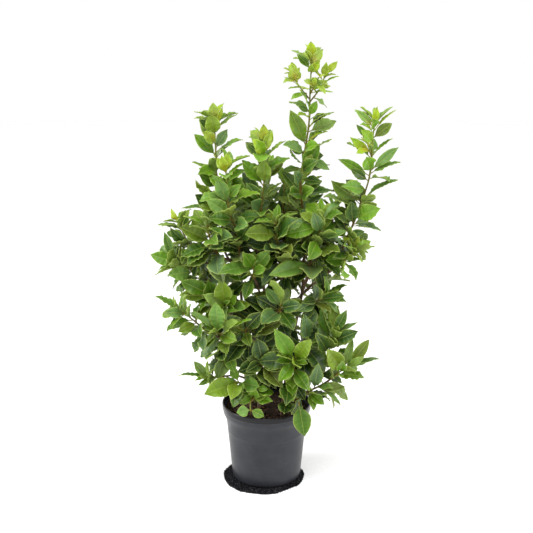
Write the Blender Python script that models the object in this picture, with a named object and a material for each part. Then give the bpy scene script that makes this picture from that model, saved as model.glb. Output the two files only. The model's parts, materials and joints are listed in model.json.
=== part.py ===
"""Bay laurel in a plastic nursery pot, standing on a round capillary mat.

Metres, +Z up. The origin lies on the underside of the mat, under the axis of the pot, and the
front of the plant faces -Y. Six woody stems stand in holes in the compost. Leafy shoots grow on
from the flat ends of their branches, and each shoot is one solid with all of its leaves.
"""
import math
import random

import bmesh
import bpy
from mathutils import Matrix, Vector, kdtree
from mathutils.bvhtree import BVHTree

# Pot, mat and compost
MAT_RADIUS = 0.0875
MAT_THICKNESS = 0.003
MAT_CENTRE = (-0.006, -0.010)
POT_TOP = 0.171
POT_RIM_RADIUS = 0.0949
POT_BODY_TOP_RADIUS = 0.0842
POT_FOOT_RADIUS = 0.0743
POT_BAND_HEIGHT = 0.012
POT_SHOULDER_HEIGHT = 0.042
POT_WALL = 0.0016
POT_SEGMENTS = 26
DRAIN_HOLES = 5
DRAIN_RADIUS = 0.005
SOIL_TOP = 0.152
SOIL_SEGMENTS = 26
GAP = 0.0003
MERGE_DISTANCE = 0.000002
SEAM_ANGLE = math.radians(10)
SOIL_GAP = 0.0005

# Leaves and stems
BLADE_THICKNESS = 0.0008
BLADE_STATIONS = (0.34, 0.70)
CLEARANCE = 0.0012
SMALL_LEAF = 0.080
POLYGON_WIDTH = 1.10
ROOT_SHARE = 0.2
ROOT_SPACING = 0.0046
PLACE_STEP = 0.0008
PLACE_STEPS = 40
FIRST_LEAF = 0.006
LAST_LEAF = 0.0015
LOWEST_TIP = 0.023
AIM_STEPS = 60
BACKWARD = -0.25
BACKWARD_COST = 0.02
AIMED_DROOP = (0.25, 0.55)
GROWN_DROOP = (0.25, 0.75)
FOLD = (9, 23)
WAVE = (0.03, 0.08)
SLENDER = (0.38, 0.50)
WOOD_SIDES = 6
BRANCH_SIDES = 5
SHOOT_SIDES = 4
RING_SPACING = 0.060
ROUTE_SAMPLES = 12
LEAF_TURN = math.radians(137.5)
STEM_DEPTH = 0.045
STRAIGHT_ABOVE = 0.003
STEM_RADIUS = 0.0042
BRANCH_RADIUS = 0.0024
TIP_RADIUS = 0.0013
TWIG_RADIUS = 0.0015
TWIG_TIP_RADIUS = 0.0011

# The ways a leaf's upper face can look
VIEWER = Vector((0.0, -1.0, 0.45))
SKY = Vector((0.0, -0.25, 1.0))
LEFT = Vector((-0.8, -0.6, 0.5))
RIGHT = Vector((0.8, -0.6, 0.5))


def clear_scene():
    for item in list(bpy.data.objects):
        bpy.data.objects.remove(item, do_unlink=True)


def make_material(name, red, green, blue, roughness):
    material = bpy.data.materials.new(name)
    material.use_nodes = True
    shader = material.node_tree.nodes["Principled BSDF"]
    shader.inputs["Base Color"].default_value = (red, green, blue, 1.0)
    shader.inputs["Roughness"].default_value = roughness
    material.diffuse_color = (red, green, blue, 1.0)
    return material


def add_object(name, verts, faces, material, collection=None):
    mesh = bpy.data.meshes.new(name)
    mesh.from_pydata([tuple(v) for v in verts], [], faces)
    mesh.materials.append(material)
    mesh.validate()
    piece = bpy.data.objects.new(name, mesh)
    (collection or bpy.context.scene.collection).objects.link(piece)
    return piece


# Routes of stems

def smooth_route(points, samples):
    """Points of a Catmull-Rom curve through the given ones."""
    knots = [Vector(p) for p in points]
    knots = [knots[0] * 2 - knots[1]] + knots + [knots[-1] * 2 - knots[-2]]
    spans = len(knots) - 3
    route = []
    for i in range(samples + 1):
        place = i / samples * spans
        k = min(int(place), spans - 1)
        t = place - k
        a, b, c, d = knots[k:k + 4]
        route.append(0.5 * (2 * b + (c - a) * t + (2 * a - 5 * b + 4 * c - d) * t * t
                            + (3 * b - a - 3 * c + d) * t ** 3))
    return route


def route_lengths(route):
    lengths = [0.0]
    for a, b in zip(route, route[1:]):
        lengths.append(lengths[-1] + (b - a).length)
    return lengths


def at_length(route, lengths, wanted):
    """The point and the direction at a distance along a route."""
    wanted = min(max(wanted, 0.0), lengths[-1])
    k = 0
    while k < len(lengths) - 2 and lengths[k + 1] < wanted:
        k += 1
    t = (wanted - lengths[k]) / max(lengths[k + 1] - lengths[k], 1e-9)
    return route[k].lerp(route[k + 1], t), (route[k + 1] - route[k]).normalized()


def tube(centres, headings, radii, sides):
    """A closed tube with flat ends that are square to its headings."""
    verts = []
    faces = []
    across = Vector((0.3, 1.0, 0.1))
    for centre, heading, radius in zip(centres, headings, radii):
        across = (across - heading * across.dot(heading)).normalized()
        up = heading.cross(across)
        for k in range(sides):
            angle = 2 * math.pi * k / sides
            verts.append(centre + (across * math.cos(angle) + up * math.sin(angle)) * radius)
    for i in range(len(centres) - 1):
        for k in range(sides):
            a = i * sides + k
            b = i * sides + (k + 1) % sides
            faces.append((a, b, b + sides, a + sides))
    faces.append(tuple(reversed(range(sides))))
    last = (len(centres) - 1) * sides
    faces.append(tuple(range(last, last + sides)))
    return verts, faces


# Leaves

class Leaf:
    """One leaf: where it springs from, which way it runs and faces, and how its blade bends."""

    def __init__(self, root, along, face, length, width, droop, fold, wave, phase, twist, age):
        self.root = root
        self.along = along.normalized()
        self.face = (face - self.along * face.dot(self.along)).normalized()
        self.length = length
        self.width = width
        self.droop = droop
        self.fold = fold
        self.wave = wave
        self.phase = phase
        self.twist = twist
        self.age = age

    def turned(self, axis, swing, tilt, scale):
        """A copy that is swung round the stem, tilted and shortened."""
        turn = Matrix.Rotation(swing, 3, axis)
        side = self.face.cross(self.along)
        tip = Matrix.Rotation(tilt, 3, turn @ side)
        return Leaf(self.root, tip @ (turn @ self.along), tip @ (turn @ self.face), self.length * scale,
                    self.width * scale, self.droop, self.fold, self.wave, self.phase, self.twist,
                         self.age)

    def frame(self, u):
        """The midrib's point, and the directions along, across and out of the upper face."""
        bend = self.droop * u
        reach = self.length * math.sin(bend) / self.droop
        fall = self.length * (1 - math.cos(bend)) / self.droop
        middle = self.root + self.along * reach - self.face * fall
        along = self.along * math.cos(bend) - self.face * math.sin(bend)
        face = self.along * math.sin(bend) + self.face * math.cos(bend)
        side = face.cross(along)
        turn = self.twist * u
        return middle, along, side * math.cos(turn) + face * math.sin(turn), \
            face * math.cos(turn) - side * math.sin(turn)

    def half_width(self, u):
        """An elliptic outline with a pointed tip and a narrow base."""
        return 0.5 * self.width * max(math.sin(math.pi * u ** 0.93), 0.0) ** 0.85

    def point(self, u, v, wider=0.0, lift=0.0):
        middle, along, side, face = self.frame(u)
        half = self.half_width(u) + wider
        waves = math.sin(2 * math.pi * 1.7 * u + self.phase + (1.3 if v > 0 else 0.0))
        rise = abs(v) * half * math.sin(self.fold) + v * v * waves * self.wave * self.width
        return middle + side * (v * half * math.cos(self.fold)) + face * (rise + lift)


def blade(leaf, margin=0.0, start=0.0):
    """A closed thin blade with the same triangles on both faces; margin thickens and widens it.

    Large leaves are folded along the midrib, and small ones are flat across.
    """
    stations = [start + (1 - start) * s for s in BLADE_STATIONS]
    folded = leaf.length > SMALL_LEAF
    places = (1, 0, -1) if folded else (1, -1)
    verts = []
    for lift in (margin, -BLADE_THICKNESS - margin):
        verts.append(leaf.point(start, 0.0, 0.0, lift))
        for u in stations:
            for v in places:
                verts.append(leaf.point(u, v * POLYGON_WIDTH, margin, lift))
    verts.append(leaf.point(1.0, 0.0, 0.0, -0.5 * BLADE_THICKNESS))
    sheet = len(verts) // 2
    tip = 2 * sheet
    if folded:
        root, l1, m1, r1, l2, m2, r2 = range(7)
        upper = [(root, m1, l1), (root, r1, m1), (m1, m2, l2), (m1, l2, l1),
                 (r1, r2, m2), (r1, m2, m1), (m2, tip, l2), (r2, tip, m2)]
    else:
        root, l1, r1, l2, r2 = range(5)
        upper = [(root, r1, l1), (r1, r2, l2), (r1, l2, l1), (r2, tip, l2)]
    faces = list(upper)
    for a, b, c in upper:
        faces.append(tuple(n if n == tip else n + sheet for n in (c, b, a)))
    rim = [root, r1, r2, tip, l2, l1]
    for a, b in zip(rim, rim[1:] + rim[:1]):
        if a == tip:
            faces.append((b, a, b + sheet))
        elif b == tip:
            faces.append((b, a, a + sheet))
        else:
            faces.append((b, a, a + sheet))
            faces.append((b, a + sheet, b + sheet))
    return verts, faces


# The plant's plan: every axis is a stem that is woody at first and leafy beyond

def stem(name, foot, through, woody, **leafy):
    """A woody stem that stands in the compost."""
    return dict(name=name, parent=None, foot=foot, through=through, woody=woody, **leafy)


def side(name, parent, leaves_at, through, woody=0.3, **leafy):
    """A shoot that leaves its parent at a height; woody 0 makes it a twig of its parent's shoot."""
    return dict(name=name, parent=parent, leaves_at=leaves_at, through=through, woody=woody, **leafy)


PLAN = [
    # The tall stem right of the middle, and its neighbour that leans out to the right
    stem("tall", (0.035, 0.005), [(0.045, 0.003, 0.25), (0.062, 0.0, 0.35), (0.074, 0.0, 0.415),
         (0.076, 0.0, 0.463), (0.079, 0.0, 0.516), (0.077, 0.0, 0.565), (0.069, 0.0, 0.633),
         (0.071, 0.0, 0.670), (0.080, 0.0, 0.732), (0.085, 0.0, 0.775), (0.086, 0.0, 0.837),
         (0.089, 0.0, 0.895)], 0.42, leaves=10, length=0.060, age=0.45, aimed=[
             ((0.086, -0.004, 0.925), 0.040, 0.019, VIEWER, 1.0),
             ((0.059, 0.0, 0.901), 0.040, 0.014, VIEWER, 0.3),
             ((0.111, -0.004, 0.911), 0.036, 0.015, VIEWER, 0.9),
             ((0.047, -0.022, 0.794), 0.082, 0.026, LEFT, 0.35),
             ((0.134, 0.0, 0.788), 0.060, 0.015, SKY, 0.4),
             ((0.116, -0.012, 0.787), 0.038, 0.012, SKY, 0.8),
             ((0.122, 0.0, 0.750), 0.046, 0.014, SKY, 0.8),
             ((0.106, -0.022, 0.726), 0.064, 0.028, VIEWER, 0.5),
             ((0.112, -0.034, 0.700), 0.062, 0.026, VIEWER, 0.2),
             ((0.047, -0.022, 0.718), 0.048, 0.018, LEFT, 0.6),
             ((0.128, 0.01, 0.682), 0.064, 0.019, SKY, 0.4),
             ((0.031, 0.0, 0.670), 0.058, 0.022, VIEWER, 0.2),
             ((0.112, 0.0, 0.650), 0.046, 0.020, VIEWER, 0.3),
             ((0.042, -0.035, 0.630), 0.060, 0.026, LEFT, 0.5),
             ((0.041, -0.03, 0.592), 0.058, 0.028, VIEWER, 0.1),
             ((0.043, -0.052, 0.560), 0.070, 0.026, VIEWER, 0.6),
             ((0.052, -0.056, 0.530), 0.074, 0.028, VIEWER, 0.4)]),
    side("tall_twig_left", "tall", 0.812, [(0.062, -0.006, 0.842), (0.050, -0.01, 0.866)], 0.0,
         leaves=5, length=0.034, age=1.0, aimed=[((0.049, -0.012, 0.886), 0.026, 0.016, VIEWER, 1.0)]),
    side("tall_twig_right", "tall", 0.808, [(0.106, 0.004, 0.835), (0.116, 0.008, 0.862)], 0.0,
         leaves=6, length=0.034, age=1.0, aimed=[((0.140, 0.008, 0.886), 0.036, 0.013, VIEWER, 1.0)]),
    side("tall_twig_front", "tall", 0.825, [(0.094, -0.016, 0.842), (0.099, -0.028, 0.856)], 0.0,
         leaves=4, length=0.028, age=1.0),
    side("right", "tall", 0.410, [(0.094, -0.010, 0.433), (0.120, -0.020, 0.458),
         (0.142, -0.020, 0.486),
         (0.161, -0.020, 0.532), (0.176, -0.020, 0.567), (0.189, -0.020, 0.606), (0.204, -0.020, 0.655),
         (0.209, -0.020, 0.702), (0.210, -0.020, 0.741), (0.214, -0.020, 0.775)], 0.24,
         leaves=6, length=0.060, age=0.5, aimed=[
             ((0.216, -0.022, 0.800), 0.036, 0.014, VIEWER, 1.0),
             ((0.173, -0.02, 0.796), 0.050, 0.014, VIEWER, 0.8),
             ((0.254, -0.02, 0.795), 0.054, 0.010, SKY, 0.9),
             ((0.247, -0.02, 0.769), 0.048, 0.020, VIEWER, 0.2),
             ((0.178, -0.01, 0.765), 0.044, 0.013, LEFT, 0.3),
             ((0.252, 0.0, 0.736), 0.056, 0.010, SKY, 0.7),
             ((0.165, -0.02, 0.741), 0.054, 0.016, LEFT, 0.9),
             ((0.142, -0.02, 0.698), 0.072, 0.018, VIEWER, 0.5),
             ((0.262, -0.02, 0.722), 0.074, 0.018, VIEWER, 0.5),
             ((0.128, -0.03, 0.656), 0.078, 0.030, LEFT, 0.2),
             ((0.156, -0.042, 0.660), 0.060, 0.026, VIEWER, 0.1),
             ((0.260, -0.04, 0.660), 0.084, 0.020, SKY, 0.4),
             ((0.226, -0.05, 0.604), 0.062, 0.034, VIEWER, 0.8),
             ((0.140, -0.045, 0.652), 0.076, 0.030, SKY, 0.6),
             ((0.197, -0.04, 0.555), 0.040, 0.015, VIEWER, 0.3)]),
    side("right_twig", "right", 0.700, [(0.202, -0.026, 0.720), (0.196, -0.030, 0.735)], 0.0,
         leaves=4, length=0.034, age=1.0),
    side("right_low", "right", 0.462, [(0.148, -0.024, 0.478), (0.166, -0.030, 0.500),
         (0.178, -0.03, 0.520)],
         0.35, leaves=5, length=0.046, age=0.8, aimed=[((0.221, -0.02, 0.519), 0.058, 0.014, SKY, 0.9),
                                                       ((0.202, -0.03, 0.494), 0.048, 0.012, SKY, 0.7),
                                                       ((0.118, -0.06, 0.500), 0.060, 0.026, VIEWER,
                                                       0.6)]),
    side("right_inner", "tall", 0.420, [(0.110, 0.020, 0.490), (0.132, 0.028, 0.540),
         (0.138, 0.03, 0.585)],
         0.40, leaves=7, length=0.056, age=0.35, aimed=[((0.176, 0.02, 0.583), 0.060, 0.020, VIEWER,
              0.5),
                                                        ((0.094, 0.006, 0.584), 0.056, 0.026, VIEWER,
                                                        0.5)]),
    side("right_front", "tall", 0.398, [(0.096, -0.030, 0.515), (0.106, -0.048, 0.550),
         (0.110, -0.055, 0.590)],
         0.35, leaves=8, length=0.068, age=0.4),
    side("right_inner_low", "tall", 0.280, [(0.072, -0.036, 0.305), (0.086, -0.058, 0.330)], 0.4,
         leaves=6, length=0.072, age=0.05),
    side("right_middle", "tall", 0.385, [(0.096, -0.024, 0.400), (0.122, -0.036, 0.418)], 0.42,
         leaves=5, length=0.060, age=0.3, aimed=[((0.166, -0.03, 0.440), 0.060, 0.018, SKY, 0.3),
                                                 ((0.158, -0.062, 0.426), 0.062, 0.020, VIEWER, 0.3),
                                                 ((0.130, -0.066, 0.404), 0.062, 0.020, SKY, 0.1)]),
    # The middle stem and the straight shoot left of it
    stem("middle", (-0.016, 0.0), [(-0.014, 0.0, 0.25), (-0.009, 0.0, 0.31), (0.022, 0.0, 0.372),
         (0.034, 0.006, 0.43), (0.036, 0.016, 0.50), (0.034, 0.02, 0.58), (0.036, 0.022, 0.64)], 0.62,
         leaves=8, length=0.076, age=0.25),
    side("centre", "middle", 0.372, [(0.003, -0.003, 0.391), (-0.010, -0.006, 0.406),
         (-0.020, -0.01, 0.436),
         (-0.026, -0.01, 0.461), (-0.021, -0.01, 0.508), (-0.015, -0.01, 0.550), (-0.009, -0.01, 0.613),
         (-0.003, -0.01, 0.672),
         (-0.005, -0.01, 0.735)], 0.30, leaves=9, length=0.062, age=0.55, aimed=[
             ((-0.006, -0.014, 0.766), 0.040, 0.018, VIEWER, 1.0),
             ((0.008, -0.02, 0.752), 0.046, 0.017, VIEWER, 1.0),
             ((-0.032, -0.014, 0.750), 0.044, 0.016, LEFT, 0.9),
             ((0.038, -0.01, 0.733), 0.056, 0.012, SKY, 0.8),
             ((-0.044, -0.01, 0.728), 0.050, 0.020, LEFT, 0.3),
             ((0.036, 0.0, 0.692), 0.058, 0.018, VIEWER, 0.2),
             ((-0.050, 0.0, 0.668), 0.060, 0.024, LEFT, 0.2),
             ((-0.004, -0.035, 0.700), 0.058, 0.028, VIEWER, 0.6),
             ((0.030, -0.03, 0.652), 0.070, 0.020, SKY, 0.2)]),
    side("centre_front", "centre", 0.436, [(-0.026, -0.036, 0.460), (-0.026, -0.052, 0.486)], 0.3,
         leaves=3, length=0.050, age=0.8, aimed=[((-0.094, -0.092, 0.478), 0.072, 0.030, SKY, 0.7),
                                                 ((-0.055, -0.08, 0.530), 0.060, 0.026, VIEWER, 0.6),
                                                 ((0.008, -0.075, 0.525), 0.058, 0.026, VIEWER, 0.7),
                                                 ((0.0, -0.098, 0.494), 0.046, 0.020, VIEWER, 1.0)]),
    side("centre_low_front", "middle", 0.345, [(0.020, -0.035, 0.372), (0.030, -0.060, 0.405)], 0.4,
         leaves=6, length=0.066, age=0.3, aimed=[((0.008, -0.100, 0.470), 0.078, 0.030, SKY, 0.7),
                                                 ((0.070, -0.100, 0.420), 0.066, 0.026, VIEWER, 0.2)]),
    side("centre_inner", "middle", 0.300, [(-0.030, -0.040, 0.330), (-0.045, -0.070, 0.355)], 0.4,
         leaves=6, length=0.074, age=0.05),
    side("front_upper", "middle", 0.418, [(0.028, -0.025, 0.490), (0.022, -0.045, 0.530),
         (0.020, -0.055, 0.580)],
         0.35, leaves=8, length=0.070, age=0.35),
    side("front_lower", "middle", 0.240, [(-0.010, -0.040, 0.262), (-0.008, -0.070, 0.290)], 0.4,
         leaves=6, length=0.074, age=0.0),
    # The left stem with its two upright shoots and the ones that lean out to the left
    stem("left", (-0.040, 0.012), [(-0.046, 0.012, 0.25), (-0.048, 0.010, 0.33), (-0.052, 0.010, 0.395),
         (-0.063, 0.010, 0.460), (-0.082, 0.010, 0.490), (-0.091, 0.010, 0.524), (-0.091, 0.010, 0.598),
         (-0.101, 0.010, 0.664), (-0.102, 0.010, 0.699), (-0.104, 0.010, 0.775)], 0.58,
         leaves=5, length=0.062, age=0.5, aimed=[
             ((-0.106, 0.006, 0.806), 0.040, 0.020, VIEWER, 1.0),
             ((-0.087, 0.006, 0.800), 0.038, 0.012, RIGHT, 1.0),
             ((-0.112, -0.012, 0.786), 0.052, 0.030, VIEWER, 0.7),
             ((-0.139, 0.008, 0.775), 0.058, 0.020, LEFT, 0.2),
             ((-0.059, 0.01, 0.783), 0.056, 0.013, SKY, 0.2),
             ((-0.077, 0.0, 0.754), 0.048, 0.020, VIEWER, 0.1),
             ((-0.144, 0.0, 0.744), 0.062, 0.024, VIEWER, 0.5),
             ((-0.057, 0.02, 0.732), 0.060, 0.012, SKY, 0.1),
             ((-0.126, -0.02, 0.752), 0.048, 0.022, VIEWER, 0.9),
             ((-0.150, 0.0, 0.688), 0.060, 0.014, SKY, 0.5),
             ((-0.136, -0.022, 0.668), 0.058, 0.030, VIEWER, 0.5),
             ((-0.142, -0.02, 0.655), 0.072, 0.026, LEFT, 0.4),
             ((-0.145, 0.0, 0.621), 0.070, 0.034, VIEWER, 0.3),
             ((-0.149, -0.012, 0.600), 0.066, 0.020, SKY, 0.7),
             ((-0.155, 0.0, 0.569), 0.070, 0.022, VIEWER, 0.2),
             ((-0.176, 0.03, 0.587), 0.088, 0.014, SKY, 0.3)]),
    side("left_front", "left", 0.420, [(-0.050, -0.016, 0.455), (-0.054, -0.030, 0.500),
         (-0.057, -0.035, 0.542),
         (-0.071, -0.035, 0.585), (-0.077, -0.035, 0.614), (-0.080, -0.035, 0.672),
         (-0.078, -0.035, 0.692)], 0.30,
         leaves=7, length=0.062, age=0.55, aimed=[
             ((-0.076, -0.038, 0.712), 0.034, 0.018, VIEWER, 1.0),
             ((-0.096, -0.038, 0.703), 0.036, 0.016, VIEWER, 1.0),
             ((-0.043, -0.03, 0.692), 0.048, 0.014, SKY, 0.8),
             ((-0.138, -0.062, 0.572), 0.088, 0.028, SKY, 0.6),
             ((-0.035, -0.058, 0.572), 0.050, 0.030, VIEWER, 0.4),
             ((-0.106, -0.055, 0.588), 0.050, 0.016, SKY, 0.8),
             ((-0.118, -0.055, 0.622), 0.062, 0.028, VIEWER, 0.6),
             ((-0.094, -0.062, 0.660), 0.058, 0.026, VIEWER, 0.6),
             ((-0.096, -0.075, 0.520), 0.062, 0.028, SKY, 0.6)]),
    side("left_out", "left", 0.445, [(-0.095, 0.004, 0.462), (-0.127, 0.0, 0.480), (-0.157, 0.0, 0.516),
         (-0.173, 0.0, 0.548), (-0.176, 0.0, 0.565)], 0.40, leaves=5, length=0.056, age=0.35, aimed=[
             ((-0.194, 0.0, 0.592), 0.036, 0.016, LEFT, 1.0),
             ((-0.160, 0.0, 0.581), 0.034, 0.012, RIGHT, 0.6),
             ((-0.196, -0.01, 0.556), 0.058, 0.024, LEFT, 0.1)]),
    side("left_low_out", "left", 0.385, [(-0.090, -0.006, 0.420), (-0.127, -0.008, 0.447),
         (-0.157, -0.01, 0.466),
         (-0.190, -0.01, 0.484)], 0.40, leaves=5, length=0.060, age=0.4, aimed=[
             ((-0.238, -0.01, 0.499), 0.062, 0.026, VIEWER, 0.6),
             ((-0.235, -0.01, 0.468), 0.062, 0.018, SKY, 0.8),
             ((-0.222, 0.0, 0.520), 0.058, 0.026, VIEWER, 0.4),
             ((-0.210, 0.02, 0.538), 0.064, 0.018, VIEWER, 0.3),
             ((-0.200, -0.035, 0.462), 0.056, 0.030, VIEWER, 0.6),
             ((-0.170, -0.035, 0.520), 0.066, 0.026, VIEWER, 0.3)]),
    side("left_upper_front", "left", 0.480, [(-0.096, -0.020, 0.500), (-0.112, -0.040, 0.535),
         (-0.118, -0.046, 0.570)],
         0.35, leaves=7, length=0.068, age=0.35),
    side("left_below", "left", 0.340, [(-0.075, -0.016, 0.375), (-0.105, -0.028, 0.405),
         (-0.120, -0.032, 0.425)],
         0.42, leaves=5, length=0.062, age=0.3, aimed=[((-0.174, -0.04, 0.451), 0.066, 0.030, VIEWER,
              0.4),
                                                       ((-0.118, -0.06, 0.460), 0.062, 0.026, VIEWER,
                                                       0.5),
                                                       ((-0.180, -0.03, 0.418), 0.066, 0.024, VIEWER,
                                                       0.4)]),
    side("left_bright", "left", 0.365, [(-0.070, -0.034, 0.392), (-0.086, -0.055, 0.402)], 0.38,
         leaves=3, length=0.052, age=0.7, aimed=[((-0.090, -0.075, 0.468), 0.068, 0.034, VIEWER, 0.6),
                                                 ((-0.060, -0.070, 0.430), 0.042, 0.020, VIEWER, 1.0),
                                                 ((-0.118, -0.080, 0.432), 0.046, 0.028, VIEWER, 0.9)]),
    # The low stem at the front left, with the long bare branch that reaches out
    stem("low_left", (-0.030, -0.035), [(-0.037, -0.036, 0.20), (-0.038, -0.037, 0.251),
         (-0.043, -0.042, 0.275),
         (-0.057, -0.050, 0.301), (-0.083, -0.060, 0.329), (-0.103, -0.068, 0.343),
         (-0.127, -0.072, 0.360),
         (-0.161, -0.080, 0.392),
         (-0.178, -0.082, 0.402)], 0.74, leaves=3, length=0.056, age=0.4, aimed=[
             ((-0.222, -0.085, 0.432), 0.064, 0.022, SKY, 0.5),
             ((-0.200, -0.125, 0.412), 0.056, 0.022, VIEWER, 0.4),
             ((-0.210, -0.060, 0.388), 0.056, 0.014, SKY, 0.6),
             ((-0.176, -0.110, 0.366), 0.050, 0.020, VIEWER, 0.5)]),
    side("low_left_upper", "low_left", 0.322, [(-0.090, -0.078, 0.345), (-0.102, -0.088, 0.362)], 0.4,
         leaves=4, length=0.056, age=0.6, aimed=[((-0.153, -0.09, 0.400), 0.066, 0.020, SKY, 0.5),
                                                 ((-0.100, -0.100, 0.425), 0.060, 0.030, VIEWER, 0.9),
                                                 ((-0.030, -0.105, 0.392), 0.074, 0.018, SKY, 0.7)]),
    side("low_left_hanging", "low_left", 0.312, [(-0.080, -0.072, 0.312), (-0.094, -0.080, 0.318)], 0.4,
         leaves=2, length=0.060, age=0.2, aimed=[((-0.100, -0.098, 0.262), 0.066, 0.032, VIEWER, 0.2),
                                                 ((-0.064, -0.092, 0.270), 0.062, 0.022, VIEWER, 0.4)]),
    side("low_left_twig", "low_left", 0.235, [(-0.062, -0.058, 0.252), (-0.092, -0.072, 0.256),
         (-0.122, -0.084, 0.258)], 0.50, leaves=3, length=0.034, age=0.5, aimed=[
             ((-0.147, -0.09, 0.296), 0.042, 0.017, VIEWER, 0.4),
             ((-0.180, -0.09, 0.266), 0.050, 0.012, SKY, 0.4),
             ((-0.110, -0.08, 0.302), 0.042, 0.012, RIGHT, 0.4),
             ((-0.140, -0.092, 0.244), 0.026, 0.010, VIEWER, 0.4)]),
    side("low_left_rim", "low_left", 0.222, [(-0.050, -0.066, 0.238), (-0.062, -0.084, 0.250)], 0.40,
         leaves=3, length=0.046, age=0.6, aimed=[((-0.128, -0.112, 0.232), 0.078, 0.036, SKY, 0.7),
                                                 ((-0.074, -0.122, 0.214), 0.052, 0.026, VIEWER, 0.7),
                                                 ((-0.014, -0.098, 0.245), 0.046, 0.030, VIEWER, 0.8)]),
    side("low_front", "low_left", 0.185, [(-0.026, -0.055, 0.198), (-0.028, -0.078, 0.215)], 0.4,
         leaves=2, length=0.040, age=0.7, aimed=[((-0.048, -0.118, 0.190), 0.036, 0.024, SKY, 0.8),
                                                 ((-0.016, -0.116, 0.188), 0.036, 0.020, SKY, 0.6),
                                                 ((-0.022, -0.100, 0.238), 0.034, 0.024, VIEWER, 0.9),
                                                 ((0.012, -0.095, 0.212), 0.034, 0.020, VIEWER, 0.9)]),
    # The low stem at the front right
    stem("low_right", (0.032, -0.035), [(0.036, -0.042, 0.20), (0.046, -0.056, 0.240),
         (0.056, -0.075, 0.275),
         (0.056, -0.092, 0.302)], 0.66, leaves=2, length=0.050, age=0.9, aimed=[
             ((0.015, -0.128, 0.378), 0.064, 0.032, VIEWER, 0.9),
             ((0.088, -0.126, 0.356), 0.060, 0.028, VIEWER, 0.9),
             ((0.020, -0.136, 0.326), 0.044, 0.018, SKY, 1.0),
             ((0.024, -0.140, 0.272), 0.060, 0.024, VIEWER, 0.8),
             ((0.040, -0.145, 0.300), 0.052, 0.026, VIEWER, 0.8)]),
    side("low_right_up", "low_right", 0.215, [(0.080, -0.046, 0.232), (0.108, -0.044, 0.256),
         (0.125, -0.048, 0.290),
         (0.134, -0.05, 0.325), (0.138, -0.05, 0.345)], 0.40, leaves=4, length=0.058, age=0.4, aimed=[
             ((0.164, -0.05, 0.393), 0.060, 0.020, VIEWER, 0.4),
             ((0.187, -0.05, 0.366), 0.062, 0.016, SKY, 0.3),
             ((0.111, -0.05, 0.398), 0.070, 0.022, LEFT, 0.3),
             ((0.140, -0.04, 0.404), 0.062, 0.024, VIEWER, 0.5),
             ((0.186, -0.075, 0.355), 0.062, 0.026, VIEWER, 0.2),
             ((0.103, -0.07, 0.352), 0.060, 0.020, LEFT, 0.8)]),
    side("low_right_out", "low_right", 0.205, [(0.082, -0.056, 0.216), (0.120, -0.060, 0.236),
         (0.150, -0.068, 0.264),
         (0.172, -0.07, 0.282)], 0.48, leaves=3, length=0.052, age=0.5, aimed=[
             ((0.209, -0.07, 0.336), 0.056, 0.022, VIEWER, 0.3),
             ((0.234, -0.07, 0.294), 0.062, 0.015, SKY, 0.4),
             ((0.204, -0.08, 0.306), 0.040, 0.014, VIEWER, 0.9),
             ((0.174, -0.075, 0.336), 0.060, 0.016, VIEWER, 0.5),
             ((0.120, -0.108, 0.318), 0.062, 0.030, SKY, 0.8),
             ((0.150, -0.105, 0.318), 0.058, 0.020, VIEWER, 0.5)]),
    side("low_right_hanging", "low_right", 0.190, [(0.068, -0.062, 0.206), (0.094, -0.070, 0.226),
         (0.106, -0.075, 0.236)], 0.45, leaves=3, length=0.050, age=0.3, aimed=[
             ((0.118, -0.096, 0.204), 0.044, 0.020, VIEWER, 0.6),
             ((0.152, -0.085, 0.198), 0.054, 0.013, SKY, 0.3),
             ((0.162, -0.075, 0.234), 0.054, 0.020, VIEWER, 0.2),
             ((0.104, -0.115, 0.300), 0.070, 0.026, VIEWER, 0.1)]),
    side("rim_front", "low_right", 0.182, [(0.040, -0.062, 0.196), (0.052, -0.078, 0.214)], 0.4,
         leaves=1, length=0.040, age=0.4, aimed=[((0.088, -0.128, 0.150), 0.074, 0.038, VIEWER, 0.6),
                                                 ((0.036, -0.098, 0.184), 0.054, 0.028, VIEWER, 0.2),
                                                 ((0.058, -0.108, 0.232), 0.040, 0.020, VIEWER, 0.6)]),
    # The back of the bush
    stem("back", (0.004, 0.040), [(0.000, 0.050, 0.25), (-0.006, 0.062, 0.35), (-0.004, 0.070, 0.44),
         (0.000, 0.074, 0.52), (0.004, 0.076, 0.60), (0.006, 0.076, 0.66)], 0.62,
         leaves=8, length=0.072, age=0.4),
    side("back_right_high", "back", 0.430, [(0.040, 0.082, 0.470), (0.062, 0.090, 0.530),
         (0.068, 0.092, 0.620)],
         0.35, leaves=8, length=0.070, age=0.45),
    side("back_left_high", "back", 0.400, [(-0.040, 0.080, 0.440), (-0.062, 0.090, 0.510),
         (-0.066, 0.094, 0.610)],
         0.35, leaves=8, length=0.070, age=0.45),
    side("back_right", "back", 0.330, [(0.050, 0.085, 0.362), (0.100, 0.105, 0.400),
         (0.125, 0.112, 0.470)],
         0.40, leaves=7, length=0.074, age=0.35),
    side("back_left", "back", 0.300, [(-0.050, 0.085, 0.340), (-0.105, 0.100, 0.385),
         (-0.130, 0.108, 0.450)],
         0.40, leaves=7, length=0.074, age=0.35),
    side("back_middle", "back", 0.360, [(0.004, 0.105, 0.390), (0.008, 0.140, 0.440),
         (0.008, 0.155, 0.500)],
         0.40, leaves=7, length=0.074, age=0.4),
    side("back_low_right", "back", 0.225, [(0.055, 0.075, 0.250), (0.100, 0.095, 0.290),
         (0.120, 0.100, 0.330)],
         0.42, leaves=7, length=0.074, age=0.2),
    side("back_low_left", "back", 0.215, [(-0.050, 0.075, 0.240), (-0.095, 0.095, 0.275),
         (-0.115, 0.100, 0.315)],
         0.42, leaves=7, length=0.074, age=0.2),
    side("back_low_middle", "back", 0.240, [(0.006, 0.095, 0.262), (0.010, 0.130, 0.300),
         (0.010, 0.140, 0.335)],
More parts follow.
